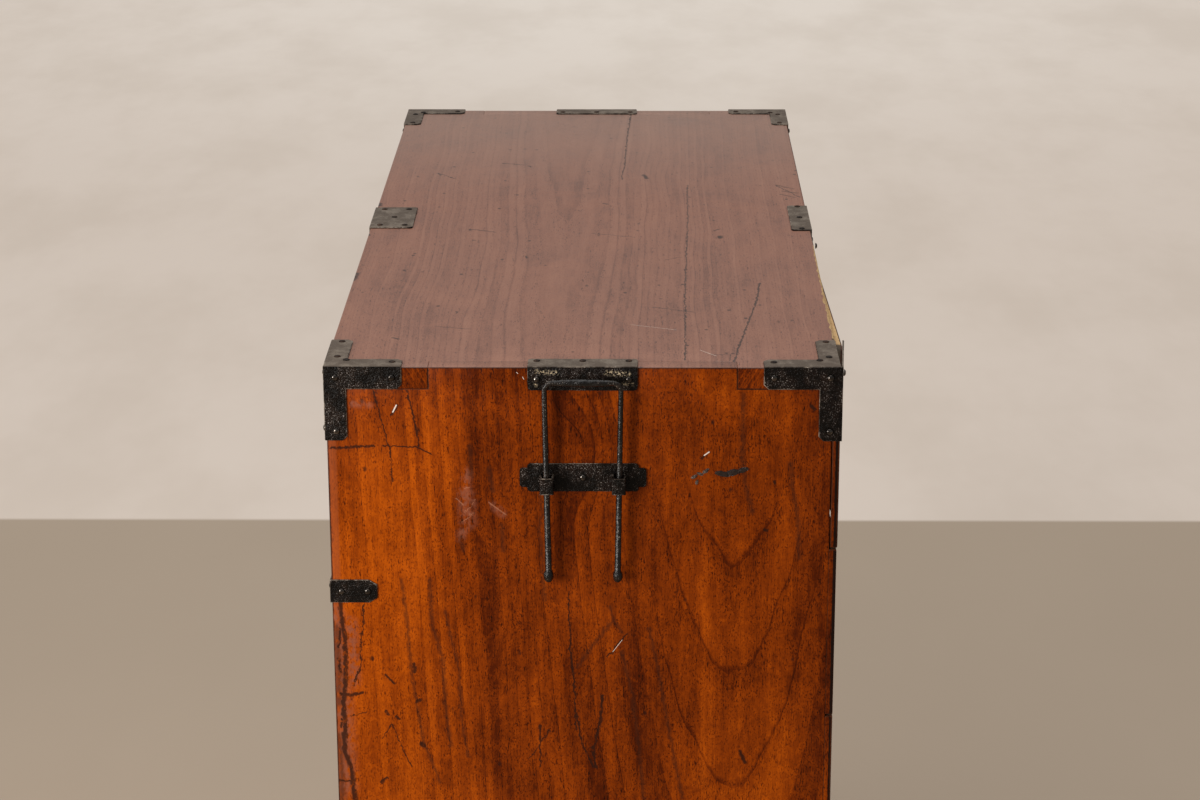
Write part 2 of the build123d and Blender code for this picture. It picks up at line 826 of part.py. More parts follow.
def drawer_lock(high_z):
    """Scalloped lock plate with a raised boss, and the lock case behind the front."""
    lock_z = high_z - lock_drop
    with BuildPart() as plate:
        with BuildSketch(Plane.XZ.offset(-drawer_front_y)):
            with Locations((0, lock_z)):
                Circle(lock_plate_radius - lock_lobe_depth)
                with PolarLocations(lock_plate_radius - lock_lobe_radius, lock_lobe_count):
                    Circle(lock_lobe_radius)
            keyhole(lock_z)
        extrude(amount=iron)
        with BuildSketch(Plane.XZ.offset(iron - drawer_front_y)):
            with Locations((0, lock_z)):
                Circle(lock_boss_radius)
            keyhole(lock_z)
        extrude(amount=iron)
    case_top = high_z - lock_case_drop
    bolt_low = high_z - bolt_drop - bolt_length
    slot_height = case_top - bolt_low + bolt_slack
    with BuildPart() as case:
        with BuildSketch(Plane.XZ.offset(-front_back_y)):
            with Locations((0, case_top - lock_case_height / 2)):
                RectangleRounded(lock_case_width, lock_case_height, lock_case_round)
        extrude(amount=-lock_case_thickness)
        with BuildSketch(Plane.XY.offset(case_top)):
            with Locations((0, bolt_y)):
                Rectangle(bolt_width + bolt_slack, bolt_thickness + bolt_slack)
        extrude(amount=-slot_height, mode=Mode.SUBTRACT)
    return [plate.part, case.part]


def lock_bolt(high_z):
    """Bolt that rises out of the lock case into the board above."""
    with BuildPart() as bolt:
        with BuildSketch(Plane.XY.offset(high_z - bolt_drop)):
            with Locations((0, bolt_y)):
                Rectangle(bolt_width, bolt_thickness)
        extrude(amount=-bolt_length)
        chamfer(bolt.faces().sort_by(Axis.Z)[-1].edges(), bolt_chamfer)
    return bolt.part


def rosette(x, z):
    """Turned washer behind one bail post."""
    middle = (x, drawer_front_y, z)
    with BuildPart() as washer:
        with BuildSketch(Plane(origin=middle, x_dir=(1, 0, 0), z_dir=(0, 0, 1))):
            with BuildLine():
                Polyline(
                    (rosette_radius, -rosette_height / 3),
                    (rosette_radius, 0),
                    (post_shank_radius, 0),
                    (post_shank_radius, -rosette_height * 0.8),
                    (rosette_hub, -rosette_height * 0.6),
                )
                ThreePointArc(
                    (rosette_hub, -rosette_height * 0.6),
                    (rosette_crown, -rosette_height),
                    (rosette_radius, -rosette_height / 3),
                )
            make_face()
        revolve(axis=Axis(middle, (0, 1, 0)))
    return washer.part


def bail_post(x, z):
    """Eye post driven through the drawer's front and clinched inside."""
    neck_y = pivot_y + eye_radius
    with BuildPart() as post:
        with BuildSketch(Plane.YZ.offset(x - eye_width / 2)):
            with Locations((pivot_y, z)):
                Circle(eye_radius)
                with Locations((eye_radius, 0)):
                    Rectangle(eye_radius - eye_bore, 1.8 * post_shank_radius)
                Circle(eye_bore, mode=Mode.SUBTRACT)
        extrude(amount=eye_width)
        with BuildSketch(Plane.XZ.offset(-neck_y)):
            with Locations((x, z)):
                Circle(post_shank_radius)
        extrude(amount=neck_y - front_back_y)
        with BuildSketch(Plane.XZ.offset(-front_back_y)):
            with Locations((x, z)):
                SlotOverall(clinch_length, 2 * post_shank_radius, rotation=90)
        extrude(amount=-clinch_thickness)
    return post.part


def bail(hand, z):
    """Forged bail that hangs in two eye posts. Its pins point inwards."""
    middle = hand * bail_spacing / 2
    arm = post_spacing / 2 + bail_overhang
    low_arm = arm - bail_taper
    wide_arm = arm + bail_flare
    low_z = z - bail_drop
    wide_z = z - 0.6 * bail_drop
    pin_end = post_spacing / 2 - pin_inset
    with BuildPart() as handle:
        with BuildLine() as path:
            FilletPolyline(
                (middle - arm, pivot_y, z),
                (middle - wide_arm, pivot_y, wide_z),
                (middle - low_arm, pivot_y, low_z),
                (middle + low_arm, pivot_y, low_z),
                (middle + wide_arm, pivot_y, wide_z),
                (middle + arm, pivot_y, z),
                radius=bail_bend_radius,
            )
        wire = path.wires()[0]
        with BuildSketch(Plane(origin=wire.position_at(0), z_dir=wire.tangent_at(0))):
            Circle(bail_radius)
        sweep(path=wire)
        with Locations((middle - arm, pivot_y, z), (middle + arm, pivot_y, z)):
            Sphere(bail_radius)
        for end in (-1, 1):
            with BuildSketch(Plane.YZ.offset(middle + end * arm)):
                with Locations((pivot_y, z)):
                    Circle(pin_radius)
            extrude(amount=-end * (arm - pin_end))
    return handle.part


def build_drawer(number, floor_z, opening):
    """Write every node of one drawer."""
    name = f"drawer_{number}"
    low_z = floor_z + front_lift
    high_z = floor_z + opening - drawer_gap
    post_z = low_z + post_share * (high_z - low_z)
    sole_z = floor_z + sole_lift
    wall_low = sole_z + sole_thickness
    wall_high = floor_z + opening - wall_drop
    write(drawer_front(low_z, high_z, post_z, sole_z, wall_high), f"{name}_front")
    write_group(drawer_walls(wall_low, wall_high), f"{name}_walls")
    write(drawer_back(wall_low, wall_high), f"{name}_back")
    write(drawer_sole(sole_z), f"{name}_sole")
    write_group(drawer_lock(high_z), f"{name}_lock")
    write(lock_bolt(high_z), f"{name}_lock_bolt")
    fittings = [make(x, post_z) for x in post_places for make in (rosette, bail_post)]
    write_group(fittings, f"{name}_bail_posts")
    write(bail(-1, post_z), f"{name}_bail_left")
    write(bail(1, post_z), f"{name}_bail_right")


build_case("upper", lower_height, upper_height, upper_openings, True)
build_case("lower", 0.0, lower_height, lower_openings, False)
drawer_number = 1
for case_z, case_openings in ((lower_height, upper_openings), (0.0, lower_openings)):
    lower_floor = case_z + board
    upper_floor = lower_floor + case_openings[0] + rail_height
    build_drawer(drawer_number, upper_floor, case_openings[1])
    build_drawer(drawer_number + 1, lower_floor, case_openings[0])
    drawer_number += 2
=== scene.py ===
import json
import math
import random

import bpy
from mathutils import Matrix, Vector

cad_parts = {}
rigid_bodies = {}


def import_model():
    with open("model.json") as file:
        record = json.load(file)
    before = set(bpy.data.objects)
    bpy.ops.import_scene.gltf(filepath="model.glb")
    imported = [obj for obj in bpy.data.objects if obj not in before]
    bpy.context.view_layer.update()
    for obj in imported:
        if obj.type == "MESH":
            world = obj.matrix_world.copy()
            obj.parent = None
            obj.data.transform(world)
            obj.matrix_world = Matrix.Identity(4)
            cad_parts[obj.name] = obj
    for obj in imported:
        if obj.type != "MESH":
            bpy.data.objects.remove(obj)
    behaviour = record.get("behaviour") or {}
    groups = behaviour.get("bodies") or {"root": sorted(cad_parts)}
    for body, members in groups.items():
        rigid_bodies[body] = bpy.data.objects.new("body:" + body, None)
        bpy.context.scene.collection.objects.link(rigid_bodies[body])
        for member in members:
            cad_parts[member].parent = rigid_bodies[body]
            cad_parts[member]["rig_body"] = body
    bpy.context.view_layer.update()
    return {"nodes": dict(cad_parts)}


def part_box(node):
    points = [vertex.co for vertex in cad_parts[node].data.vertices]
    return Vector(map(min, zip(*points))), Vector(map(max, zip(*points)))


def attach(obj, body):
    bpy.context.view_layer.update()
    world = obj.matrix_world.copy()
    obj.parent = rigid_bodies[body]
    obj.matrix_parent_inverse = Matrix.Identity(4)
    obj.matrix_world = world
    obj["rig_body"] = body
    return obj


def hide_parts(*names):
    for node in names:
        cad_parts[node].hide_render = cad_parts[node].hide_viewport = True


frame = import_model()
print("frame loaded:", len(frame["nodes"]), "nodes")


meshWork = {
    "merge": 0.00001,  # corners nearer than this are one
    "flat": math.radians(0.5),  # faces that meet at less are one
    "sharp": math.radians(40),  # edges that are rounded turn by more
}


def workOn(piece):
    # nothing but this piece is selected and active
    bpy.ops.object.select_all(action="DESELECT")
    piece.select_set(True)
    bpy.context.view_layer.objects.active = piece


def mergedCopy(node, name):
    # the CAD mesh is loose triangles, so its copy is joined up before it is worked on
    piece = bpy.data.objects.new(name, frame["nodes"][node].data.copy())
    bpy.context.scene.collection.objects.link(piece)
    piece.data.materials.clear()
    workOn(piece)
    bpy.ops.mesh.customdata_custom_splitnormals_clear()
    bpy.ops.object.mode_set(mode="EDIT")
    bpy.ops.mesh.select_all(action="SELECT")
    bpy.ops.mesh.remove_doubles(threshold=meshWork["merge"])
    bpy.ops.mesh.dissolve_limited(angle_limit=meshWork["flat"])
    bpy.ops.object.mode_set(mode="OBJECT")
    return piece


def selectNothing(mesh):
    for group in (mesh.vertices, mesh.edges, mesh.polygons):
        group.foreach_set("select", [False] * len(group))


def selectSharpEdges(piece, shortest):
    # leaves edit mode open, with the sharp edges longer than shortest selected
    workOn(piece)
    bpy.context.tool_settings.mesh_select_mode = (False, True, False)
    bpy.ops.object.mode_set(mode="EDIT")
    bpy.ops.mesh.select_all(action="DESELECT")
    bpy.ops.mesh.edges_select_sharp(sharpness=meshWork["sharp"])
    bpy.ops.object.mode_set(mode="OBJECT")
    points = piece.data.vertices
    long = [
        edge.index
        for edge in piece.data.edges
        if edge.select and (points[edge.vertices[0]].co - points[edge.vertices[1]].co).length > shortest
    ]
    selectNothing(piece.data)
    for index in long:
        edge = piece.data.edges[index]
        edge.select = True
        for corner in edge.vertices:
            points[corner].select = True
    bpy.ops.object.mode_set(mode="EDIT")
    return len(long)


def roundEdges(piece, width, shortest, segments=2, finish=-1):
    if selectSharpEdges(piece, shortest):
        bpy.ops.mesh.bevel(
            offset=width, segments=segments, affect="EDGES", clamp_overlap=False, material=finish
        )
    bpy.ops.object.mode_set(mode="OBJECT")


def smooth(piece, degrees=32):
    workOn(piece)
    bpy.ops.object.shade_smooth_by_angle(angle=math.radians(degrees))


def standFor(piece, node):
    # the piece takes the place of its CAD node, on the same body
    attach(piece, frame["nodes"][node]["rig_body"])
    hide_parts(node)


def addNode(tree, kind, inputs=None, **settings):
    made = tree.nodes.new("ShaderNode" + kind)
    for key, value in settings.items():
        setattr(made, key, value)
    for key, value in (inputs or {}).items():
        if isinstance(value, bpy.types.NodeSocket):
            tree.links.new(value, made.inputs[key])
        else:
            made.inputs[key].default_value = value
    return made


def calc(tree, operation, a, b=0.0, clamp=False):
    return addNode(tree, "Math", {0: a, 1: b}, operation=operation, use_clamp=clamp).outputs[0]


def remap(tree, value, fromLow, fromHigh, toLow=0.0, toHigh=1.0, kind="SMOOTHSTEP"):
    sockets = {0: value, 1: fromLow, 2: fromHigh, 3: toLow, 4: toHigh}
    return addNode(tree, "MapRange", sockets, interpolation_type=kind, clamp=True).outputs[0]


def mixColour(tree, factor, a, b, blend="MIX"):
    return addNode(
        tree, "Mix", {0: factor, 6: a, 7: b}, data_type="RGBA", blend_type=blend, clamp_factor=True
    ).outputs[2]


def scaled(tree, place, sizes, shift=(0.0, 0.0, 0.0)):
    return addNode(
        tree, "VectorMath", {0: place, 1: sizes, 2: shift}, operation="MULTIPLY_ADD"
    ).outputs[0]


def cloud(tree, place, sizes, detail=2.0, rough=0.5, distortion=0.0, shift=(0.0, 0.0, 0.0)):
    return addNode(
        tree,
        "TexNoise",
        {
            "Vector": scaled(tree, place, sizes, shift),
            "Scale": 1.0,
            "Detail": detail,
            "Roughness": rough,
            "Distortion": distortion,
        },
    ).outputs[0]


def ramp(tree, factor, stops):
    made = addNode(tree, "ValToRGB", {0: factor})
    band = made.color_ramp
    while len(band.elements) < len(stops):
        band.elements.new(0.5)
    for element, (at, colour) in zip(band.elements, stops):
        element.position = at
        element.color = (*colour, 1.0)
    return made.outputs[0]


def newMaterial(name):
    material = bpy.data.materials.new(name)
    material.use_nodes = True
    material.node_tree.nodes.clear()
    return material, material.node_tree


def finishMaterial(tree, colour, roughness, height, shader, bump):
    # shader holds the sockets that are the same all over, and bump is (strength, distance)
    normal = addNode(tree, "Bump", {"Strength": bump[0], "Distance": bump[1], "Height": height}).outputs[0]
    surface = addNode(
        tree, "BsdfPrincipled", {"Base Color": colour, "Roughness": roughness, "Normal": normal, **shader}
    )
    addNode(tree, "OutputMaterial", {"Surface": surface.outputs[0]})


def vectorMath(tree, operation, a, b=(0.0, 0.0, 0.0), output=0):
    return addNode(tree, "VectorMath", {0: a, 1: b}, operation=operation).outputs[output]


def stroke(tree, place, start, end, width, core):
    # mask of a soft line between two points, for a scratch, a crack or a stain
    whole = Vector((end[0] - start[0], end[1] - start[1], 0.0)) / 1000
    fromStart = vectorMath(tree, "SUBTRACT", place, (start[0] / 1000, start[1] / 1000, 0.0))
    share = addNode(
        tree, "VectorMath", {0: fromStart, 1: tuple(whole / whole.length_squared)}, operation="DOT_PRODUCT"
    ).outputs["Value"]
    share = calc(tree, "MAXIMUM", calc(tree, "MINIMUM", share, 1.0), 0.0)
    nearest = addNode(tree, "VectorMath", {0: tuple(whole), "Scale": share}, operation="SCALE").outputs[0]
    gap = vectorMath(tree, "DISTANCE", fromStart, nearest, "Value")
    return remap(tree, gap, width / 1000, core * width / 1000)


def strokes(tree, place, marks, core=0.35):
    # each mark is its width and then the points it runs through, across and along the grain, in millimetres
    mask = 0.0
    for width, *points in marks:
        for start, end in zip(points, points[1:]):
            mask = calc(tree, "MAXIMUM", stroke(tree, place, start, end, width, core), mask)
    return mask


lacquer = {
    "axes": "YZX",  # across the grain, along it, and into the board
    "middle": (0.0, 0.0),  # place of the flame's middle
    "pith": 0.25,
    "taper": 0.05,
    "ring": 0.005425,
    "sway": 0.026,
    "ripple": 0.36,
    "eye": None,
    "flameTop": 9.0,
    "streaks": 0.36,
    "lines": 0.23,
    "lineEdges": (0.93, 0.985),
    "flameLines": 0.62,
    "mottle": 0.56,
    "curls": 0.42,
    "pepper": 0.25,
    "specks": 0.72,
    "lift": 0.0,
    "tones": (
        (0.00, (0.0140, 0.0030, 0.0012)),
        (0.28, (0.0800, 0.0110, 0.0011)),
        (0.50, (0.2350, 0.0370, 0.0012)),
        (0.74, (0.4500, 0.0820, 0.0018)),
        (1.00, (0.6400, 0.1600, 0.0080)),
    ),
    "shades": (),
    "bruise": (),
    "soft": (),
    "dark": (),
    "rub": (),
    "paleScratchesAndGlints": (),
    "bands": (),
    "roughness": (0.26, 0.46),
    "shader": {"Specular IOR Level": 0.06},
    "bump": (0.35, 0.0006),
    "seed": 0.0,
}


# waves to the metre: across the grain, along it and into the board
grainSizes = {
    "wander": (7.0, 2.2, 7.0),
    "ripple": (38.0, 11.0, 38.0),
    "fibre": (900.0, 30.0, 900.0),
    "streak": (120.0, 6.0, 120.0),
    "blotch": (17.0, 8.0, 17.0),
    "curl": (85.0, 55.0, 85.0),
    "pore": (1300.0, 170.0, 1300.0),
    "pepper": (800.0, 420.0, 800.0),
    "speck": (55.0, 38.0, 55.0),
    "rough": (260.0, 160.0, 260.0),
}
flame = {"outer": 0.085, "inner": 0.050, "fade": 0.04}  # half widths of the flame, and how its top fades
toneWeights = {"base": 0.60, "fibre": 0.24, "ring": 0.12, "pore": -0.30}
relief = {"fibre": 0.25, "streak": 0.5, "pore": 0.35, "speck": 0.5}
speckTint = {"strength": 0.75, "colour": (0.02, 0.006, 0.004, 1.0)}
wobble = {"across": 0.007, "along": -0.005, "band": 0.0016}  # how far marks and bands stray from their line
# kind of mark: colour, strength, share of the width that is full, texture
markKinds = {
    "bruise": ((0.240, 0.078, 0.044, 1.0), 0.72, 0.0, "scuffs"),
    "soft": ((0.040, 0.011, 0.005, 1.0), 0.60, 0.0, "grit"),
    "dark": ((0.022, 0.008, 0.005, 1.0), 0.88, 0.35, "grit"),
    "rub": ((0.420, 0.180, 0.100, 1.0), 0.45, 0.35, "grit"),
    # the nearly white marks are pale scratches, and painted glints on small chips
    "paleScratchesAndGlints": ((0.800, 0.700, 0.620, 1.0), 0.90, 0.35, None),
}


def grainIndex(tree, look, across, along, grain):
    # number of the growth ring, counted out from the flame, and the way across from the flame's middle
    stray = calc(tree, "SUBTRACT", cloud(tree, grain, grainSizes["wander"], 2.0), 0.5)
    ripple = calc(tree, "SUBTRACT", cloud(tree, grain, grainSizes["ripple"], 3.0), 0.5)
    side = calc(tree, "SUBTRACT", across, look["middle"][0])
    side = calc(tree, "ADD", side, calc(tree, "MULTIPLY", stray, look["sway"]))
    squares = calc(tree, "ADD", calc(tree, "MULTIPLY", side, side), look["pith"] ** 2)
    radius = calc(tree, "SQRT", squares)
    rise = calc(tree, "MULTIPLY", calc(tree, "SUBTRACT", along, look["middle"][1]), look["taper"])
    index = calc(tree, "SUBTRACT", calc(tree, "SUBTRACT", radius, look["pith"]), rise)
    index = calc(tree, "DIVIDE", index, look["ring"])
    return calc(tree, "ADD", index, calc(tree, "MULTIPLY", ripple, look["ripple"])), side


def eyeNearness(tree, eye, flat):
    # 0 at the middle of the eye in the grain, and 1 at its rim
    across, along, width, height, _ = eye
    place = scaled(tree, flat, (1 / width, 1 / height, 0.0), (-across / width, -along / height, 0.0))
    return vectorMath(tree, "LENGTH", place, output="Value")


def growthLines(tree, look, across, along, grain, flat):
    # rings round a pith behind the board, which taper along it: their lines, phase and own tone
    index, side = grainIndex(tree, look, across, along, grain)
    near = eyeNearness(tree, look["eye"], flat) if look["eye"] else None
    if look["eye"]:
        index = calc(tree, "ADD", index, remap(tree, near, 1.0, 0.0, 0.0, look["eye"][4]))
    phase = calc(tree, "FRACT", index)
    ringNumber = calc(tree, "FLOOR", index)
    ringTone = addNode(tree, "TexWhiteNoise", {"W": ringNumber}, noise_dimensions="1D").outputs[0]
    crisp = remap(tree, phase, *look["lineEdges"])
    soft = remap(tree, phase, 0.28, 0.0, 0.0, 0.34)
    offFlame = calc(tree, "ABSOLUTE", side)
    inFlame = remap(tree, offFlame, flame["outer"], flame["inner"], 0.0, look["flameLines"])
    underTop = remap(tree, along, look["flameTop"], look["flameTop"] - flame["fade"])
    inFlame = calc(tree, "MULTIPLY", inFlame, underTop)
    chosenRing = calc(tree, "MAXIMUM", remap(tree, ringTone, 0.35, 0.95, 0.12, 0.8), inFlame)
    if look["eye"]:
        chosenRing = calc(tree, "MAXIMUM", chosenRing, remap(tree, near, 1.1, 0.7, 0.0, 0.7))
    line = calc(tree, "MULTIPLY", calc(tree, "MAXIMUM", crisp, soft), chosenRing)
    return line, phase, ringTone


def shaded(tree, tone, flat, shades):
    # the board darkens from one place towards another
    for start, end, depthOfShade in shades:
        run = Vector((end[0] - start[0], end[1] - start[1], 0.0))
        run /= run.length_squared
        fromStart = vectorMath(tree, "SUBTRACT", flat, (*start, 0.0))
        away = vectorMath(tree, "DOT_PRODUCT", fromStart, tuple(run), "Value")
        tone = calc(tree, "SUBTRACT", tone, remap(tree, away, 0.0, 1.0, 0.0, depthOfShade))
    return tone


def bandsAndMarks(tree, look, colour, parts, flat, grain):
    rough = calc(tree, "SUBTRACT", cloud(tree, grain, grainSizes["rough"], 3.0, 0.65), 0.5)
    # a band: coordinate, where it starts, where it is full, tint, strength
    for axis, start, full, tint, strength in look["bands"]:
        near = calc(tree, "ADD", parts["XYZ".index(axis)], calc(tree, "MULTIPLY", rough, wobble["band"]))
        mask = calc(tree, "MULTIPLY", remap(tree, near, start, full), strength)
        colour = mixColour(tree, mask, colour, (*tint, 1.0))
    sway = {
        0: calc(tree, "MULTIPLY", rough, wobble["across"]),
        1: calc(tree, "MULTIPLY", rough, wobble["along"]),
    }
    shaky = vectorMath(tree, "ADD", flat, addNode(tree, "CombineXYZ", sway).outputs[0])
    textures = {"grit": remap(tree, rough, -0.34, -0.02), "scuffs": remap(tree, rough, -0.14, 0.10)}
    for kind, (tint, strength, core, texture) in markKinds.items():
        if look[kind]:
            mask = strokes(tree, shaky if texture else flat, look[kind], core)
            if texture:
                mask = calc(tree, "MULTIPLY", mask, textures[texture])
            colour = mixColour(tree, calc(tree, "MULTIPLY", mask, strength), colour, tint)
    return colour


def woodMaterial(name, **changes):
    look = {**lacquer, **changes}
    material, tree = newMaterial(name)
    parts = addNode(tree, "SeparateXYZ", {0: addNode(tree, "TexCoord").outputs["Object"]}).outputs
    across, along, depth = (parts["XYZ".index(axis)] for axis in look["axes"])
    seeded = calc(tree, "ADD", depth, look["seed"])
    grain = addNode(tree, "CombineXYZ", {0: across, 1: along, 2: seeded}).outputs[0]
    flat = addNode(tree, "CombineXYZ", {0: across, 1: along}).outputs[0]
    line, phase, ringTone = growthLines(tree, look, across, along, grain, flat)

    # fibres, streaks, blotches and pores
    fibre = cloud(tree, grain, grainSizes["fibre"], 3.0, 0.6)
    streak = cloud(tree, grain, grainSizes["streak"], 4.0, 0.62, 0.3)
    blotch = cloud(tree, grain, grainSizes["blotch"], 6.0, 0.68, 0.6)
    curl = cloud(tree, grain, grainSizes["curl"], 4.0, 0.7, 1.6)
    pore = remap(tree, cloud(tree, grain, grainSizes["pore"], 1.0), 0.60, 0.70)
    pore = calc(tree, "MULTIPLY", pore, remap(tree, phase, 0.55, 0.1, 0.35, 1.0))
    pepper = remap(tree, cloud(tree, grain, grainSizes["pepper"], 2.0, 0.6), 0.52, 0.66)
    pepper = calc(tree, "MULTIPLY", pepper, remap(tree, curl, 0.40, 0.62, 0.25, 1.0))
    tone = calc(tree, "MULTIPLY_ADD", calc(tree, "SUBTRACT", streak, 0.5), look["streaks"])
    tone.node.inputs[2].default_value = toneWeights["base"] + look["lift"]
    for value, weight in (
        (calc(tree, "SUBTRACT", fibre, 0.5), toneWeights["fibre"]),
        (calc(tree, "SUBTRACT", curl, 0.5), look["curls"]),
        (calc(tree, "SUBTRACT", blotch, 0.5), look["mottle"]),
        (calc(tree, "SUBTRACT", ringTone, 0.5), toneWeights["ring"]),
        (line, -look["lines"]),
        (pore, toneWeights["pore"]),
        (pepper, -look["pepper"]),
    ):
        tone = calc(tree, "ADD", tone, calc(tree, "MULTIPLY", value, weight))
    colour = ramp(tree, shaded(tree, tone, flat, look["shades"]), look["tones"])

    # specks and small knots
    cellPlace = scaled(tree, grain, grainSizes["speck"])
    cells = addNode(tree, "TexVoronoi", {"Vector": cellPlace, "Scale": 1.0}).outputs
    cellTone = addNode(tree, "SeparateColor", {0: cells["Color"]}).outputs[0]
    chosen = remap(tree, cellTone, look["specks"], look["specks"] + 0.04)
    speck = calc(tree, "MULTIPLY", remap(tree, cells["Distance"], 0.13, 0.05), chosen)
    speckMask = calc(tree, "MULTIPLY", speck, speckTint["strength"])
    colour = mixColour(tree, speckMask, colour, speckTint["colour"])
    colour = bandsAndMarks(tree, look, colour, parts, flat, grain)

    height = calc(tree, "MULTIPLY_ADD", fibre, relief["fibre"])
    tree.links.new(calc(tree, "MULTIPLY", streak, relief["streak"]), height.node.inputs[2])
    height = calc(tree, "SUBTRACT", height, calc(tree, "MULTIPLY", pore, relief["pore"]))
    height = calc(tree, "SUBTRACT", height, calc(tree, "MULTIPLY", speck, relief["speck"]))
    roughness = remap(tree, blotch, 0.3, 0.7, *look["roughness"])
    finishMaterial(tree, colour, roughness, height, look["shader"], look["bump"])
    return material


frontEdge = ("Y", -0.2062, -0.2085, (0.26, 0.060, 0.018), 0.55)  # redder wood beside the front
frontArris = ("Y", -0.2132, -0.2142, (0.020, 0.009, 0.006), 0.85)
# nearly black strip at the rear edge: painted shadow of the rear arris, together with its soot-dark surface
rearStrip = ("Y", 0.2118, 0.2126, (0.008, 0.005, 0.004), 0.95)
# painted shade: dark lines along the chest's top edge, on the side boards and along the top's ends
topEdgeShade = ("Z", 0.9736, 0.9746, (0.030, 0.012, 0.007), 0.7)  # dark line along the chest's top edge
topEndEdgeShade = ("X", 0.4866, 0.4880, (0.040, 0.018, 0.013), 0.7)

sideMarks = {
    "bruise": (
        (7.0, (-97, 882), (-99, 867), (-94, 854), (-99, 834), (-104, 824)),
        (11.0, (-99, 864), (-97, 838)),
        (6.0, (-76, 853), (-68, 845)),
        (5.0, (-192, 943), (-178, 942)),
        (13.0, (-212, 752), (-208, 680), (-206, 590)),
        (9.0, (-199, 745), (-198, 690)),
    ),
    "soft": (
        (3.2, (-131, 785), (-130, 744), (-125, 726), (-121, 710), (-120, 672), (-116, 629)),
        (2.8, (-155, 785), (-151, 744), (-149, 703), (-144, 666), (-140, 637), (-133, 616), (-126, 595)),
        (2.4, (-119, 757), (-112, 724), (-107, 699), (-106, 654), (-101, 620)),
        (3.0, (-40, 875), (-36, 863), (-35, 845), (-37, 828), (-35, 815), (-33, 767)),
        (3.6, (-95, 906), (-94, 880)),
        (3.6, (-79, 886), (-76, 866)),
        (3.0, (-104, 824), (-102, 812)),
        (3.2, (-69, 835), (-68, 812)),
        (2.6, (23, 761), (26, 748), (33, 737)),
        (3.4, (25, 748), (13, 732), (-6, 705)),
        (3.2, (33, 719), (42, 678), (48, 624), (52, 580)),
        (3.0, (56, 741), (63, 708), (71, 660), (80, 610), (86, 580)),
        (4.0, (134, 952), (134, 929), (134, 897), (136, 876), (143, 847)),
        (3.6, (175, 891), (176, 872), (182, 840), (183, 806)),
        (5.0, (-212, 742), (-211, 700), (-212, 670)),
        (4.0, (-213, 640), (-211, 600), (-212, 575)),
    ),
    "dark": (
        (1.5, (-212, 904), (-176, 906)),
        (0.9, (-168, 906), (-140, 905), (-128, 899)),
        (0.8, (-175, 955), (-162, 902), (-161, 874)),
        (2.9, (-208, 763), (-207, 746), (-205, 732), (-205, 711), (-206, 687), (-208, 670), (-207, 641)),
        (3.2, (-208, 641), (-208, 624), (-203, 609), (-202, 595), (-200, 572)),
        (1.1, (-188, 762), (-189, 744), (-192, 724), (-192, 703), (-196, 696), (-199, 687)),
        (2.2, (-211, 679), (-201, 678), (-191, 680)),
        (1.6, (-214, 597), (-203, 596)),
        (1.1, (-13, 775), (-11, 714), (-8, 687), (-7, 646)),
        (1.9, (16, 678), (14, 651), (8, 628), (10, 610)),
        (1.3, (-6, 661), (-2, 633), (8, 610)),
        (1.3, (-38, 650), (-38, 610)),
        (0.8, (-175, 637), (-167, 651), (-155, 620), (-149, 609)),
        (0.7, (-203, 658), (-188, 662)),
        (1.0, (-48, 618), (-30, 645)),
        (1.1, (21, 714), (37, 736)),
        (2.3, (136, 625), (140, 615)),
        (1.4, (-160, 933), (-155, 942)),
        (1.4, (100, 895), (106, 901)),
        (2.8, (-144, 672), (-142, 673)),
        (3.2, (-142, 632), (-139, 630)),
        (1.4, (-171, 697), (-164, 689)),
        (2.0, (-172, 663), (-170, 660)),
        (1.8, (-163, 658), (-160, 655)),
        (2.0, (-177, 595), (-172, 599)),
        (2.4, (-146, 707), (-146, 700)),
        (2.2, (191, 942), (194, 939)),
        (1.9, (161, 875), (162, 873)),
        (1.7, (154, 831), (156, 831)),
        (1.4, (-209, 740), (-210, 722)),
        (1.3, (-211, 712), (-210, 700)),
        (1.6, (-210, 655), (-211, 648)),
        (1.2, (-147, 955), (-139, 920), (-138, 905)),
    ),
    "rub": (
        (0.6, (-107, 859), (-101, 853)),
        (0.8, (-79, 855), (-66, 845)),
        (0.7, (-100, 868), (-96, 869)),
        (0.5, (-103, 838), (-92, 846)),
        (0.5, (-100, 846), (-91, 858)),
    ),
    "paleScratchesAndGlints": (
        (0.75, (-159, 936), (-156, 942)),
        (0.75, (102, 898), (106, 901)),
        (0.28, (25, 719), (33, 730)),
        (0.35, (-55, 971), (-54, 970)),
        (0.35, (-50, 967), (-49, 965)),
    ),
}

finishes = {}
finishes["rightSideUpper"] = woodMaterial(
    "rightSideUpper",
    middle=(0.127, 0.5896),
    eye=(0.001, 0.905, 0.042, 0.078, 2.2),
    flameTop=0.88,
    lift=0.04,
    shades=(
        ((-0.17, 0.8), (-0.07, 0.8), 0.21),
        ((0.04, 0.8), (0.11, 0.8), -0.11),
        ((0.165, 0.8), (0.21, 0.8), 0.17),
        ((-0.14, 0.87), (-0.20, 0.94), 0.20),
    ),
    bands=(frontEdge, frontArris, rearStrip, topEdgeShade),
    **sideMarks,
)
finishes["rightSideLower"] = woodMaterial(
    "rightSideLower",
    middle=(0.095, 0.30),
    taper=0.045,
    seed=3.1,
    shades=(((-0.17, 0.4), (-0.05, 0.4), 0.16),),
    bands=(frontEdge, frontArris, rearStrip),
)
finishes["leftSideUpper"] = woodMaterial(
    "leftSideUpper", middle=(-0.06, 0.55), taper=-0.055, seed=5.3, bands=(frontEdge, frontArris, rearStrip)
)
finishes["leftSideLower"] = woodMaterial(
    "leftSideLower", middle=(-0.02, 0.2), taper=0.05, seed=7.7, bands=(frontEdge, frontArris, rearStrip)
)

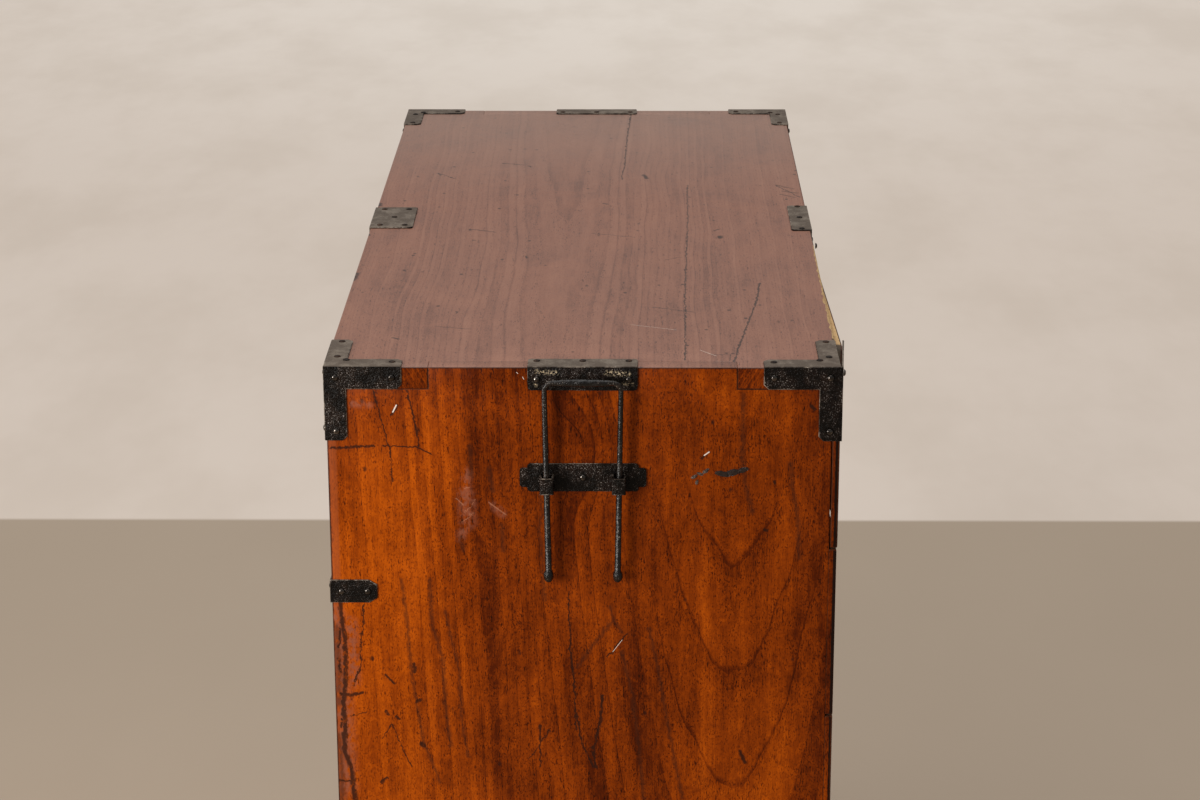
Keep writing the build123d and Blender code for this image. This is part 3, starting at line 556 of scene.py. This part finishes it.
topTones = (
    (0.00, (0.020, 0.0080, 0.0060)),
    (0.30, (0.115, 0.0460, 0.0300)),
    (0.55, (0.238, 0.1010, 0.0640)),
    (0.80, (0.300, 0.1400, 0.0900)),
    (1.00, (0.400, 0.2250, 0.1600)),
)
topLook = {
    "axes": "YXZ",
    "middle": (-0.026, -0.015),
    "pith": 0.22,
    "taper": -0.0050,
    "ring": 0.0021,
    "sway": 0.034,
    "ripple": 0.5,
    "lineEdges": (0.72, 0.92),
    "flameLines": 0.30,
    "lines": 0.20,
    "mottle": 0.46,
    "streaks": 0.24,
    "curls": 0.30,
    "pepper": 0.20,
    "specks": 0.45,
    # the first band is painted sheen: the top turns paler and greyer towards its far end
    "bands": (("X", -0.02, -0.489, (0.30, 0.205, 0.165), 0.45), topEndEdgeShade),
    "tones": topTones,
    "seed": 1.7,
    "roughness": (0.42, 0.60),
    "shader": {"Specular IOR Level": 0.5},
    "bump": (0.30, 0.0005),
}
topMarks = {
    "dark": (
        (0.9, (40, -482), (35, -341), (33, -225), (30, -159)),
        (0.8, (98, -137), (96, 5), (90, 222), (86, 467)),
        (1.1, (158, 232), (153, 287), (133, 424), (127, 472)),
        (3.5, (126, 67), (126, 73)),
        (1.0, (189, -137), (212, -87)),
        (0.8, (60, 310), (96, 326)),
        (1.2, (-118, 40), (-92, 52)),
        (2.2, (-164, 404), (-160, 408)),
        (1.6, (-60, 140), (-58, 146)),
        (2.0, (12, -60), (16, -57)),
        (1.8, (-70, -220), (-66, -216)),
        (1.5, (-97, -232), (-74, -225)),
        (1.3, (-164, -188), (-144, -165)),
        (3.0, (53, -181), (56, -166)),
        (1.4, (47, 114), (48, 115)),
        (1.5, (-113, 82), (-111, 83)),
        (1.3, (121, 46), (126, 40)),
        (1.4, (66, 283), (67, 284)),
        (1.3, (-115, 325), (-114, 329)),
        (0.8, (-131, 369), (-101, 378)),
        (0.7, (1, 56), (44, 70)),
        (0.6, (105, 453), (124, 450), (124, 468)),
        (3.2, (-215, 224), (-214, 200)),
        (2.6, (-214, -60), (-213, -50)),
        (2.4, (-215, 60), (-214, 64)),
    ),
    "soft": (
        (3.0, (191, -137), (206, -121)),
        (3.0, (193, -99), (206, -86)),
        (2.5, (196, -112), (210, -104)),
        (1.4, (72, 153), (85, 144)),
        (2.0, (169, 353), (170, 358)),
    ),
    "paleScratchesAndGlints": ((0.28, (99, 439), (112, 455)), (0.22, (40, 364), (80, 380))),
}
finishes["top"] = woodMaterial("topWood", **topLook, **topMarks)
finishes["topEnds"] = woodMaterial("topEnds", **{**topLook, "pith": 0.03, "ring": 0.003})
# every rounded edge of the boards is darker than the faces beside it
finishes["arris"] = woodMaterial(
    "darkArris",
    tones=(
        (0.00, (0.012, 0.0040, 0.0025)),
        (0.40, (0.045, 0.0120, 0.0050)),
        (0.70, (0.110, 0.0300, 0.0110)),
        (1.00, (0.240, 0.0900, 0.0450)),
    ),
    mottle=1.2,
    lines=0.1,
    lift=-0.08,
)
frontLook = {"axes": "ZXY", "pith": 0.12, "taper": 0.02, "ring": 0.0036, "sway": 0.02}
fronts = {1: (0.885, -0.12, 11.0), 2: (0.64, 0.18, 13.0), 3: (0.385, 0.05, 17.0), 4: (0.14, -0.2, 19.0)}
for number, (across, along, seed) in fronts.items():
    finishes[f"front{number}"] = woodMaterial(
        f"drawerFront{number}", middle=(across, along), seed=seed, **frontLook
    )
finishes["frame"] = woodMaterial("frameWood", middle=(0.3, 0.0), seed=23.0, lines=0.3, **frontLook)
finishes["upright"] = woodMaterial("uprightWood", axes="XZY", middle=(0.55, 0.3), seed=43.0, lift=-0.08)
finishes["back"] = woodMaterial(
    "backWood",
    middle=(0.55, 0.1),
    seed=29.0,
    axes="ZXY",
    pith=0.25,
    taper=0.03,
    ring=0.006,
    tones=(
        (0.00, (0.020, 0.0070, 0.0035)),
        (0.35, (0.085, 0.0270, 0.0090)),
        (0.65, (0.160, 0.0550, 0.0160)),
        (1.00, (0.240, 0.0950, 0.0330)),
    ),
    roughness=(0.5, 0.7),
    shader={"Specular IOR Level": 0.25},
)
finishes["endGrain"] = woodMaterial(
    "endGrain",
    middle=(0.0, 0.5),
    pith=0.03,
    taper=0.6,
    ring=0.0022,
    seed=31.0,
    lines=0.5,
    lift=-0.22,
    bands=(topEdgeShade,),
)
bareTones = (
    (0.00, (0.130, 0.0750, 0.0350)),
    (0.35, (0.300, 0.1950, 0.1000)),
    (0.65, (0.430, 0.2950, 0.1650)),
    (1.00, (0.560, 0.4150, 0.2600)),
)
for name, axes in (("bareAcross", "YXZ"), ("bareDeep", "ZYX")):
    finishes[name] = woodMaterial(
        name,
        axes=axes,
        middle=(0.1, 0.0),
        pith=0.15,
        taper=0.02,
        ring=0.007,
        tones=bareTones,
        seed=37.0,
        lines=0.25,
        roughness=(0.6, 0.8),
        shader={},
        bump=(0.25, 0.0004),
    )
finishes["raw"] = woodMaterial(
    "splinteredWood",
    axes="YXZ",
    middle=(0.2, 0.0),
    tones=(
        (0.00, (0.130, 0.0600, 0.0250)),
        (0.35, (0.420, 0.2500, 0.1050)),
        (0.65, (0.620, 0.4100, 0.1900)),
        (1.00, (0.740, 0.5700, 0.3300)),
    ),
    lines=0.2,
    seed=41.0,
    roughness=(0.7, 0.9),
    shader={},
    bump=(0.6, 0.0008),
    bands=(("X", 0.400, 0.406, (0.020, 0.010, 0.006), 0.92),),
)
finishes["crust"] = woodMaterial(
    "scarCrust",
    tones=(
        (0.00, (0.006, 0.0040, 0.0035)),
        (0.45, (0.030, 0.0180, 0.0140)),
        (0.65, (0.110, 0.0800, 0.0650)),
        (1.00, (0.340, 0.2700, 0.2300)),
    ),
    mottle=2.2,
    lift=-0.1,
    shader={"Specular IOR Level": 0.3},
)
print("wood finishes:", len(finishes))

ironLook = {
    "dark": (0.0030, 0.0020, 0.0016),
    "brown": (0.0130, 0.0072, 0.0048),
    # colour of the painted glints speckled into the base colour, then the levels that bound them
    "glint": (0.30, 0.265, 0.245),
    "glints": (0.60, 0.71),
    "wear": (),
    "roughness": (0.18, 0.40),
    "bump": (1.0, 0.0011),
    "shader": {"Metallic": 0.0, "Specular IOR Level": 0.12},
}


# waves to the metre, the same each way
ironSizes = {"pits": (520.0,) * 3, "hammer": (120.0,) * 3, "scale": (70.0,) * 3, "paintedSparkle": (950.0,) * 3}
wornTint = (0.48, 0.38, 0.25, 1.0)
wornFace = (0.488, 0.4885)  # how far to the right the wear starts, so that only the right end has it


def ironMaterial(name, **changes):
    look = {**ironLook, **changes}
    material, tree = newMaterial(name)
    place = addNode(tree, "TexCoord").outputs["Object"]
    pits = cloud(tree, place, ironSizes["pits"], 4.0, 0.65)
    hammer = cloud(tree, place, ironSizes["hammer"], 2.0, 0.5)
    scale = cloud(tree, place, ironSizes["scale"], 4.0, 0.7)
    colour = mixColour(tree, remap(tree, scale, 0.42, 0.68), (*look["dark"], 1.0), (*look["brown"], 1.0))
    # painted glints: pale specks mixed into the iron's base colour, thickest in the brown patches
    paintedSparkle = remap(tree, cloud(tree, place, ironSizes["paintedSparkle"], 1.0), *look["glints"])
    paintedSparkle = calc(tree, "MULTIPLY", paintedSparkle, remap(tree, scale, 0.44, 0.64, 0.02, 0.9))
    colour = mixColour(tree, paintedSparkle, colour, (*look["glint"], 1.0))
    if look["wear"]:
        # cream patches where the black has rubbed off
        parts = addNode(tree, "SeparateXYZ", {0: place}).outputs
        face = addNode(tree, "CombineXYZ", {0: parts[1], 1: parts[2]}).outputs[0]
        bare = calc(tree, "MULTIPLY", strokes(tree, face, look["wear"], 0.0), remap(tree, pits, 0.50, 0.58))
        bare = calc(tree, "MULTIPLY", bare, remap(tree, parts[0], *wornFace))
        colour = mixColour(tree, bare, colour, wornTint)
    height = calc(tree, "MULTIPLY_ADD", pits, 0.7)
    tree.links.new(calc(tree, "MULTIPLY", hammer, 0.9), height.node.inputs[2])
    roughness = remap(tree, pits, 0.35, 0.65, *look["roughness"])
    finishMaterial(tree, colour, roughness, height, look["shader"], look["bump"])
    return material


finishes["iron"] = ironMaterial("blackIron")
finishes["bracketIron"] = ironMaterial(
    "bracketIron",
    wear=(
        (3.2, (-38, 972), (-22, 971)),
        (3.4, (20, 971), (38, 970)),
        (2.2, (-40, 963), (-39, 960)),
        (2.2, (34, 962), (42, 961)),
    ),
)
# paler iron on the rounded edges: real wear, together with a painted highlight along each edge
finishes["wornAndHighlitIronEdge"] = ironMaterial(
    "wornAndHighlitIronEdge", dark=(0.024, 0.017, 0.013), brown=(0.240, 0.195, 0.155), glint=(0.55, 0.49, 0.43)
)
finishes["handleIron"] = ironMaterial(
    "handleIron",
    glint=(0.34, 0.29, 0.24),
    glints=(0.62, 0.72),
    roughness=(0.12, 0.44),
    bump=(0.9, 0.0008),
    shader={"Metallic": 0.0, "Specular IOR Level": 0.34},
)
# paler grey-brown for the faces on top of the brackets: dust, and a painted sheen where the pale room would
# reflect
finishes["dustAndSheenIron"] = ironMaterial(
    "dustAndSheenIron",
    dark=(0.100, 0.077, 0.060),
    brown=(0.175, 0.142, 0.113),
    glint=(0.22, 0.19, 0.16),
    roughness=(0.5, 0.7),
    bump=(0.5, 0.0005),
)
finishes["nailIron"] = ironMaterial(
    "nailIron",
    dark=(0.050, 0.044, 0.040),
    brown=(0.120, 0.104, 0.092),
    roughness=(0.09, 0.18),
    bump=(0.15, 0.0003),
    shader={"Metallic": 1.0},
)
finishes["rustyNail"] = ironMaterial(
    "rustyNail",
    dark=(0.010, 0.0065, 0.0050),
    brown=(0.050, 0.0230, 0.0120),
    glint=(0.13, 0.085, 0.060),
    roughness=(0.45, 0.65),
    bump=(0.4, 0.0004),
)
print("iron finishes ready")


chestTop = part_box("upper_top_board")[1]


faces = {
    "square": 0.96,  # a face looks to a side when its normal has this much of it
    "jointDepth": 0.001,
    "endInset": 0.0008,
    "sideInset": 0.0006,
}


def isTopJoint(place):
    isOffEnds = abs(place.x) < chestTop.x - faces["endInset"]
    isOffSides = abs(place.y) < chestTop.y - faces["sideInset"]
    return isOffEnds and isOffSides and place.z > chestTop.z - faces["jointDepth"]


def dress(piece, rules, plain, edge, joints=None):
    # rules give a finish by the side a face looks to, slanting faces are edges, and the rest are plain;
    # joints is the finish of the slanting faces along the joints in the chest's top
    names = sorted({finish for _, _, finish in rules} | {plain, edge} | ({joints} if joints else set()))
    for name in names:
        piece.data.materials.append(finishes[name])
    for face in piece.data.polygons:
        chosen = plain if max(abs(part) for part in face.normal) > faces["square"] else edge
        for axis, sign, finish in rules:
            if face.normal["XYZ".index(axis)] * sign > faces["square"]:
                chosen = finish
        if joints and isTopJoint(face.center):
            chosen = joints
        face.material_index = names.index(chosen)


def pickFaces(piece, isPicked):
    # leaves edit mode open, with only the picked faces selected
    workOn(piece)
    bpy.context.tool_settings.mesh_select_mode = (False, False, True)
    selectNothing(piece.data)
    for face in piece.data.polygons:
        face.select = isPicked(face)
    bpy.ops.object.mode_set(mode="EDIT")


def cutFaces(piece, isPicked, place, facing):
    pickFaces(piece, isPicked)
    bpy.ops.mesh.bisect(plane_co=place, plane_no=facing)
    bpy.ops.object.mode_set(mode="OBJECT")


# what the sides of a board look like: axis, direction, finish
caseEdges = [("Y", -1, "frame"), ("Y", 1, "back")]
caseBoard = [("X", 1, "endGrain"), ("X", -1, "endGrain"), *caseEdges]


def sideBoard(sign, outside, top):
    return [("X", sign, outside), ("Y", -1, "upright"), ("Z", 1, top), ("Y", 1, "back")]


boards = {
    "arris": 0.0007,
    "sprungArris": 0.0013,
    "shortest": 0.006,
    "lookFor": {
        "upper_top_board": [("Z", 1, "top"), *caseBoard],
        "lower_top_board": [("Z", 1, "frame"), *caseBoard],
        "upper_bottom_board": caseBoard,
        "lower_bottom_board": caseBoard,
        "upper_right_side": sideBoard(1, "rightSideUpper", "topEnds"),
        "lower_right_side": sideBoard(1, "rightSideLower", "endGrain"),
        "upper_left_side": sideBoard(-1, "leftSideUpper", "topEnds"),
        "lower_left_side": sideBoard(-1, "leftSideLower", "endGrain"),
        "upper_drawer_rail": [("Y", -1, "frame")],
        "lower_drawer_rail": [("Y", -1, "frame")],
        "upper_back_planks": [
            ("Y", 1, "back"),
            ("X", 1, "rightSideUpper"),
            ("X", -1, "leftSideUpper"),
            ("Z", 1, "raw"),
        ],
        "lower_back_planks": [("Y", 1, "back"), ("X", 1, "rightSideLower"), ("X", -1, "leftSideLower")],
        **{f"drawer_{number}_front": [("Y", -1, f"front{number}")] for number in fronts},
    },
}

# the rear edge of the chest's top, broken away over the sprung plank
splinters = {
    "from": 0.10,
    "to": 0.47,
    "step": 0.0075,
    "lost": 0.0012,
    "uneven": 0.0022,
    "deep": 0.0016,
    "strip": 0.0045,  # width of the strip that is cut up for it
    "near": 0.006,
    "below": 0.003,
    "slant": 0.25,
    "upright": 0.9,
    "hair": 0.0001,
    "seed": 5,
}


def isTopFace(face):
    return face.normal.z > splinters["upright"] and face.center.z > chestTop.z - splinters["hair"]


def isRearStrip(face):
    return isTopFace(face) and face.center.y > chestTop.y - splinters["strip"]


def isRearLip(face):
    return face.normal.y > splinters["upright"] and face.center.y > chestTop.y - splinters["hair"]


def isBroken(face):
    return isRearStrip(face) or (isRearLip(face) and face.center.z > chestTop.z - splinters["deep"])


def breakRearEdge(piece):
    cutFaces(piece, isTopFace, (0.0, chestTop.y - splinters["strip"], 0.0), (0.0, 1.0, 0.0))
    pickFaces(piece, isRearStrip)
    bpy.ops.mesh.dissolve_faces()
    bpy.ops.object.mode_set(mode="OBJECT")
    cutFaces(piece, isRearLip, (0.0, 0.0, chestTop.z - splinters["deep"]), (0.0, 0.0, 1.0))
    dice = random.Random(splinters["seed"])
    at = splinters["from"]
    while at < splinters["to"]:
        cutFaces(piece, isBroken, (at, 0.0, 0.0), (1.0, 0.0, 0.0))
        at += splinters["step"] * (0.5 + dice.random())
    for point in piece.data.vertices:
        isTopEdge = min(point.co.z - chestTop.z, point.co.y - chestTop.y) > -splinters["hair"]
        if isTopEdge and splinters["from"] < point.co.x < splinters["to"]:
            share = (point.co.x - splinters["from"]) / (splinters["to"] - splinters["from"])
            lost = splinters["lost"] + splinters["uneven"] * dice.random() ** 2
            point.co.y -= math.sin(math.pi * share) ** 0.5 * lost


def layBare(piece, isBare):
    # broken wood shows on these faces
    slot = piece.data.materials.find(finishes["raw"].name)
    if slot < 0:
        piece.data.materials.append(finishes["raw"])
        slot = len(piece.data.materials) - 1
    for face in piece.data.polygons:
        if isBare(face):
            face.material_index = slot


def isBehindTop(face):
    place = face.center
    isNear = place.y > chestTop.y - splinters["near"] and place.z > chestTop.z - splinters["below"]
    isAlong = splinters["from"] < place.x < splinters["to"]
    return face.normal.y > splinters["slant"] and isNear and isAlong


def isPlankInside(face):
    return min(-face.normal.y, face.normal.z) > splinters["slant"]


# a crusted scar on the right side: flat lumps, as (across, up, half length, half height, lean in degrees)
scar = {
    "thick": 0.0007,
    "uneven": 0.0007,
    "seed": 4,
    "lumps": (
        (0.1175, 0.8815, 0.0070, 0.0024, -12),
        (0.1265, 0.8830, 0.0060, 0.0030, 8),
        (0.1345, 0.8850, 0.0055, 0.0022, 16),
        (0.0935, 0.8790, 0.0030, 0.0013, 30),
        (0.0985, 0.8815, 0.0028, 0.0012, -20),
        (0.1035, 0.8840, 0.0035, 0.0014, 40),
        (0.0960, 0.8740, 0.0022, 0.0011, 75),
    ),
}


def scarLumps():
    lumps = []
    for number, (across, up, length, height, lean) in enumerate(scar["lumps"]):
        bpy.ops.object.select_all(action="DESELECT")
        bpy.ops.mesh.primitive_ico_sphere_add(subdivisions=3, radius=1.0)
        lump = bpy.context.view_layer.objects.active
        lump.name = f"scarLump{number}"
        lump.scale = (scar["thick"], length, height)
        bpy.ops.object.transform_apply(location=False, rotation=False, scale=True)
        bpy.ops.object.mode_set(mode="EDIT")
        bpy.ops.mesh.select_all(action="SELECT")
        bpy.ops.transform.vertex_random(offset=scar["uneven"], seed=scar["seed"] + number)
        bpy.ops.object.mode_set(mode="OBJECT")
        lump.rotation_euler = (math.radians(lean), 0.0, 0.0)
        lump.location = (chestTop.x, across, up)
        bpy.ops.object.transform_apply(location=True, rotation=True, scale=True)
        lump.data.materials.append(finishes["crust"])
        lumps.append(lump)
    return lumps


for node, rules in boards["lookFor"].items():
    piece = mergedCopy(node, node + "_wood")
    if node == "upper_top_board":
        breakRearEdge(piece)
    arris = boards["sprungArris" if node == "upper_back_planks" else "arris"]
    roundEdges(piece, arris, boards["shortest"])
    dress(piece, rules, "bareAcross", "arris", "top" if node.startswith("upper") else None)
    if node == "upper_top_board":
        layBare(piece, isBehindTop)
    if node == "upper_back_planks":
        layBare(piece, isPlankInside)
    if node == "upper_right_side":
        lumps = scarLumps()
        bpy.ops.object.select_all(action="DESELECT")
        for part in (*lumps, piece):
            part.select_set(True)
        bpy.context.view_layer.objects.active = piece
        bpy.ops.object.join()
    smooth(piece)
    standFor(piece, node)
print("boards dressed:", len(boards["lookFor"]))

for node, shape in frame["nodes"].items():
    if node.endswith(("_walls", "_back", "_sole", "_dust_shelf")):
        finish = "bareDeep" if node.endswith("_walls") else "bareAcross"
        for index in range(len(shape.material_slots)):
            shape.material_slots[index].material = finishes[finish]


def texturedDent(piece, depth, size, name):
    # hammer marks, sunk into the surface
    texture = bpy.data.textures.new(name, "CLOUDS")
    texture.noise_scale = size
    workOn(piece)
    dent = piece.modifiers.new("dent", "DISPLACE")
    dent.texture = texture
    dent.texture_coords = "LOCAL"
    dent.strength = depth
    dent.mid_level = 1.0
    bpy.ops.object.modifier_apply(modifier="dent")


ironPieces = {
    "arris": 0.0006,
    "shortest": 0.002,
    "dustAndSheenUp": 0.8,  # a face on top of a bracket looks up by at least this
    "sheet": 0.001,
    "dent": 0.0007,
    "dentSize": 0.004,
    "barSmooth": 50,
}

for node, shape in frame["nodes"].items():
    if node.endswith("_iron_brackets"):
        piece = mergedCopy(node, node + "_forged")
        for finish in ("bracketIron", "wornAndHighlitIronEdge", "dustAndSheenIron"):
            piece.data.materials.append(finishes[finish])
        roundEdges(piece, ironPieces["arris"], ironPieces["shortest"], 1, 1)
        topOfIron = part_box(node)[1].z
        # faces that look up take the paler top iron of dust and painted sheen
        for face in piece.data.polygons:
            if face.normal.z > ironPieces["dustAndSheenUp"] and face.center.z > topOfIron - ironPieces["sheet"]:
                face.material_index = 2
        smooth(piece)
        standFor(piece, node)
    elif "_carry_" in node:
        piece = mergedCopy(node, node + "_forged")
        for finish in ("iron" if node.endswith("_plates") else "handleIron", "wornAndHighlitIronEdge"):
            piece.data.materials.append(finishes[finish])
        if node.endswith("_plates"):
            roundEdges(piece, ironPieces["arris"], ironPieces["shortest"], 1, 1)
            smooth(piece)
        else:
            texturedDent(piece, ironPieces["dent"], ironPieces["dentSize"], node + "Dents")
            smooth(piece, ironPieces["barSmooth"])
        standFor(piece, node)
    elif not node.endswith("_nails") and "iron" in shape.material_slots[0].material.name:
        for index in range(len(shape.material_slots)):
            shape.material_slots[index].material = finishes["iron"]
print("iron dressed")

# a forged nail head: a low dome with a worn flat, its underside on the sheet
forgedHead = {
    "sides": 9,
    "rings": 9,
    "radius": 0.003,
    "height": 0.0019,
    "dome": 1.06,  # height of the dome before its flat, as a share of the height
    "worn": 0.97,
    "lean": 0.1,
    "uneven": 0.00008,
    "seed": 3,
    "smooth": 60,
    "rim": 0.0027,  # the head's rim is at least this far from the nail's axis
    "turn": 2.4,
    "up": 0.7,
    "flat": 0.45,  # heads that look up are worn flatter
}

bpy.ops.object.select_all(action="DESELECT")
bpy.ops.mesh.primitive_uv_sphere_add(segments=forgedHead["sides"], ring_count=forgedHead["rings"], radius=1.0)
headModel = bpy.context.view_layer.objects.active
headModel.name = "nailHead"
headModel.scale = (forgedHead["radius"], forgedHead["radius"], forgedHead["height"] * forgedHead["dome"])
bpy.ops.object.transform_apply(location=False, rotation=False, scale=True)
bpy.ops.object.mode_set(mode="EDIT")
bpy.ops.mesh.select_all(action="SELECT")
bpy.ops.mesh.bisect(plane_co=(0, 0, 0), plane_no=(0, 0, 1), use_fill=True, clear_inner=True)
bpy.ops.mesh.select_all(action="SELECT")
bpy.ops.mesh.bisect(
    plane_co=(0, 0, forgedHead["height"] * forgedHead["worn"]),
    plane_no=(forgedHead["lean"], 0, 1),
    use_fill=True,
    clear_outer=True,
)
bpy.ops.mesh.select_all(action="SELECT")
bpy.ops.transform.vertex_random(offset=forgedHead["uneven"], seed=forgedHead["seed"])
bpy.ops.object.mode_set(mode="OBJECT")
smooth(headModel, forgedHead["smooth"])
headModel.data.materials.append(finishes["nailIron"])


def nailsOf(node):
    # each nail's place and the way it looks, from the CAD's loose nails
    probe = mergedCopy(node, "probe")
    workOn(probe)
    bpy.ops.object.mode_set(mode="EDIT")
    bpy.ops.mesh.select_all(action="SELECT")
    bpy.ops.mesh.separate(type="LOOSE")
    bpy.ops.object.mode_set(mode="OBJECT")
    found = []
    for part in list(bpy.context.selected_objects):
        points = [point.co.copy() for point in part.data.vertices]
        middle = sum(points, Vector()) / len(points)
        tip = max(points, key=lambda point: (point - middle).length)
        ahead = (middle - tip).normalized()
        rim = [
            point
            for point in points
            if (point - tip - ahead * (point - tip).dot(ahead)).length > forgedHead["rim"]
        ]
        centre = sum(rim, Vector()) / len(rim)
        ahead = (centre - tip).normalized()
        found.append((centre, ahead))
        bpy.data.objects.remove(part)
    return found


for node in [name for name in frame["nodes"] if name.endswith("_nails")]:
    heads = []
    for number, (centre, ahead) in enumerate(nailsOf(node)):
        head = headModel.copy()
        head.data = headModel.data.copy()
        bpy.context.scene.collection.objects.link(head)
        turn = ahead.to_track_quat("Z", "Y").to_matrix().to_4x4()
        isOnTop = ahead.z > forgedHead["up"]
        if isOnTop:
            head.data.materials[0] = finishes["rustyNail"]
        squash = Matrix.Diagonal((1.0, 1.0, forgedHead["flat"] if isOnTop else 1.0, 1.0))
        spin = Matrix.Rotation(forgedHead["turn"] * number, 4, "Z")
        head.matrix_world = Matrix.Translation(centre) @ turn @ spin @ squash
        heads.append(head)
    bpy.ops.object.select_all(action="DESELECT")
    for head in heads:
        head.select_set(True)
    bpy.context.view_layer.objects.active = heads[0]
    bpy.ops.object.join()
    heads[0].name = node + "_forged"
    workOn(heads[0])
    bpy.ops.object.transform_apply(location=True, rotation=True, scale=True)
    standFor(heads[0], node)
    print(node, len(heads), "heads")
bpy.data.objects.remove(headModel)

room = {
    "size": 60.0,
    "drop": 0.0005,  # how far the floor lies under the chest
    "wallAt": -1.74,  # where the floor's colour gives way to the wall's
    "wallEdge": 0.015,
    "wall": (0.66, 0.575, 0.505),
    "floor": (0.355, 0.28, 0.208),
    "paintedLightPool": (0.80, 0.735, 0.67),
    "paintedLightPoolAt": (-6.6, 0.05, 0.0),
    "paintedLightPoolReach": 3.4,
    "paintedLightPoolEdge": 0.01,
    "cloudSizes": (1.4, 2.6, 1.0),
    "cloudTint": (0.42, 0.35, 0.28),
    "cloudStrength": 0.22,
    "bump": (0.05, 0.002),
    "world": (1.0, 0.97, 0.94),
    "worldStrength": 0.34,
}

bpy.ops.object.select_all(action="DESELECT")
bpy.ops.mesh.primitive_plane_add(size=room["size"], location=(0.0, 0.0, -room["drop"]))
floor = bpy.context.view_layer.objects.active
floor.name = "studioFloor"
material, tree = newMaterial("studioFloor")
place = addNode(tree, "TexCoord").outputs["Object"]
depthOfRoom = addNode(tree, "SeparateXYZ", {0: place}).outputs[0]
mottle = cloud(tree, place, room["cloudSizes"], 4.0, 0.6)
beyond = remap(tree, depthOfRoom, room["wallAt"], room["wallAt"] - room["wallEdge"])
tint = mixColour(tree, beyond, (*room["floor"], 1.0), (*room["wall"], 1.0))
# painted light: a pool of paler wall colour round a point beyond the wall line, fading out with distance
fromPaintedLightPool = vectorMath(tree, "DISTANCE", place, room["paintedLightPoolAt"], "Value")
paintedLightPoolStart = remap(tree, depthOfRoom, room["wallAt"], room["wallAt"] - room["paintedLightPoolEdge"])
paintedLightPool = calc(tree, "MULTIPLY", remap(tree, fromPaintedLightPool, room["paintedLightPoolReach"], 0.0), paintedLightPoolStart)
tint = mixColour(tree, paintedLightPool, tint, (*room["paintedLightPool"], 1.0))
clouded = remap(tree, mottle, 0.35, 0.7, 0.0, room["cloudStrength"])
tint = mixColour(tree, clouded, tint, (*room["cloudTint"], 1.0))
finishMaterial(tree, tint, remap(tree, mottle, 0.3, 0.7, 0.6, 0.8), mottle, {}, room["bump"])
floor.data.materials.append(material)

world = bpy.data.worlds.new("studio")
world.use_nodes = True
bpy.context.scene.world = world
world.node_tree.nodes["Background"].inputs["Color"].default_value = (*room["world"], 1.0)
world.node_tree.nodes["Background"].inputs["Strength"].default_value = room["worldStrength"]

keyLight = {
    "place": (1.45, -1.20, 1.15),
    "target": (0.489, 0.0, 0.78),
    "width": 0.6,
    "height": 0.8,
    "power": 28.0,
    "colour": (1.0, 0.97, 0.92),
}
lamp = bpy.data.lights.new("keyLight", "AREA")
lamp.shape = "RECTANGLE"
lamp.size = keyLight["width"]
lamp.size_y = keyLight["height"]
lamp.energy = keyLight["power"]
lamp.color = keyLight["colour"]
holder = bpy.data.objects.new("keyLight", lamp)
bpy.context.scene.collection.objects.link(holder)
towards = Vector(keyLight["target"]) - Vector(keyLight["place"])
holder.location = keyLight["place"]
holder.rotation_euler = towards.to_track_quat("-Z", "Y").to_euler()
holder.visible_camera = False

skyLight = {"power": 1.9, "spread": math.radians(70), "colour": (1.0, 0.98, 0.95), "tilt": (8, -12, 0)}
skyLamp = bpy.data.lights.new("overhead", "SUN")
skyLamp.energy = skyLight["power"]
skyLamp.angle = skyLight["spread"]
skyLamp.color = skyLight["colour"]
skyHolder = bpy.data.objects.new("overhead", skyLamp)
bpy.context.scene.collection.objects.link(skyHolder)
skyHolder.rotation_euler = [math.radians(angle) for angle in skyLight["tilt"]]

viewpoint = {
    "place": (2.8068, 0.0418, 1.7104),
    "lens": 87.66,
    "sensor": 36.0,
    "pitch": 18.232,
    "yaw": -0.675,
    "roll": -0.129,
}
pitch, yaw, roll = (math.radians(viewpoint[angle]) for angle in ("pitch", "yaw", "roll"))
ahead = Vector((-math.cos(pitch) * math.cos(yaw), math.cos(pitch) * math.sin(yaw), -math.sin(pitch)))
level = ahead.cross(Vector((0, 0, 1))).normalized()
upright = level.cross(ahead)
right = level * math.cos(roll) + upright * math.sin(roll)
up = upright * math.cos(roll) - level * math.sin(roll)
camera = bpy.data.cameras.new("camera")
camera.lens = viewpoint["lens"]
camera.sensor_width = viewpoint["sensor"]
cameraObject = bpy.data.objects.new("camera", camera)
bpy.context.scene.collection.objects.link(cameraObject)
turn = Matrix((right, up, -ahead)).transposed().to_4x4()
cameraObject.matrix_world = Matrix.Translation(viewpoint["place"]) @ turn
bpy.context.scene.camera = cameraObject
bpy.context.scene.view_settings.view_transform = "Standard"
print("stage, light and camera set")

bpy.context.view_layer.update()
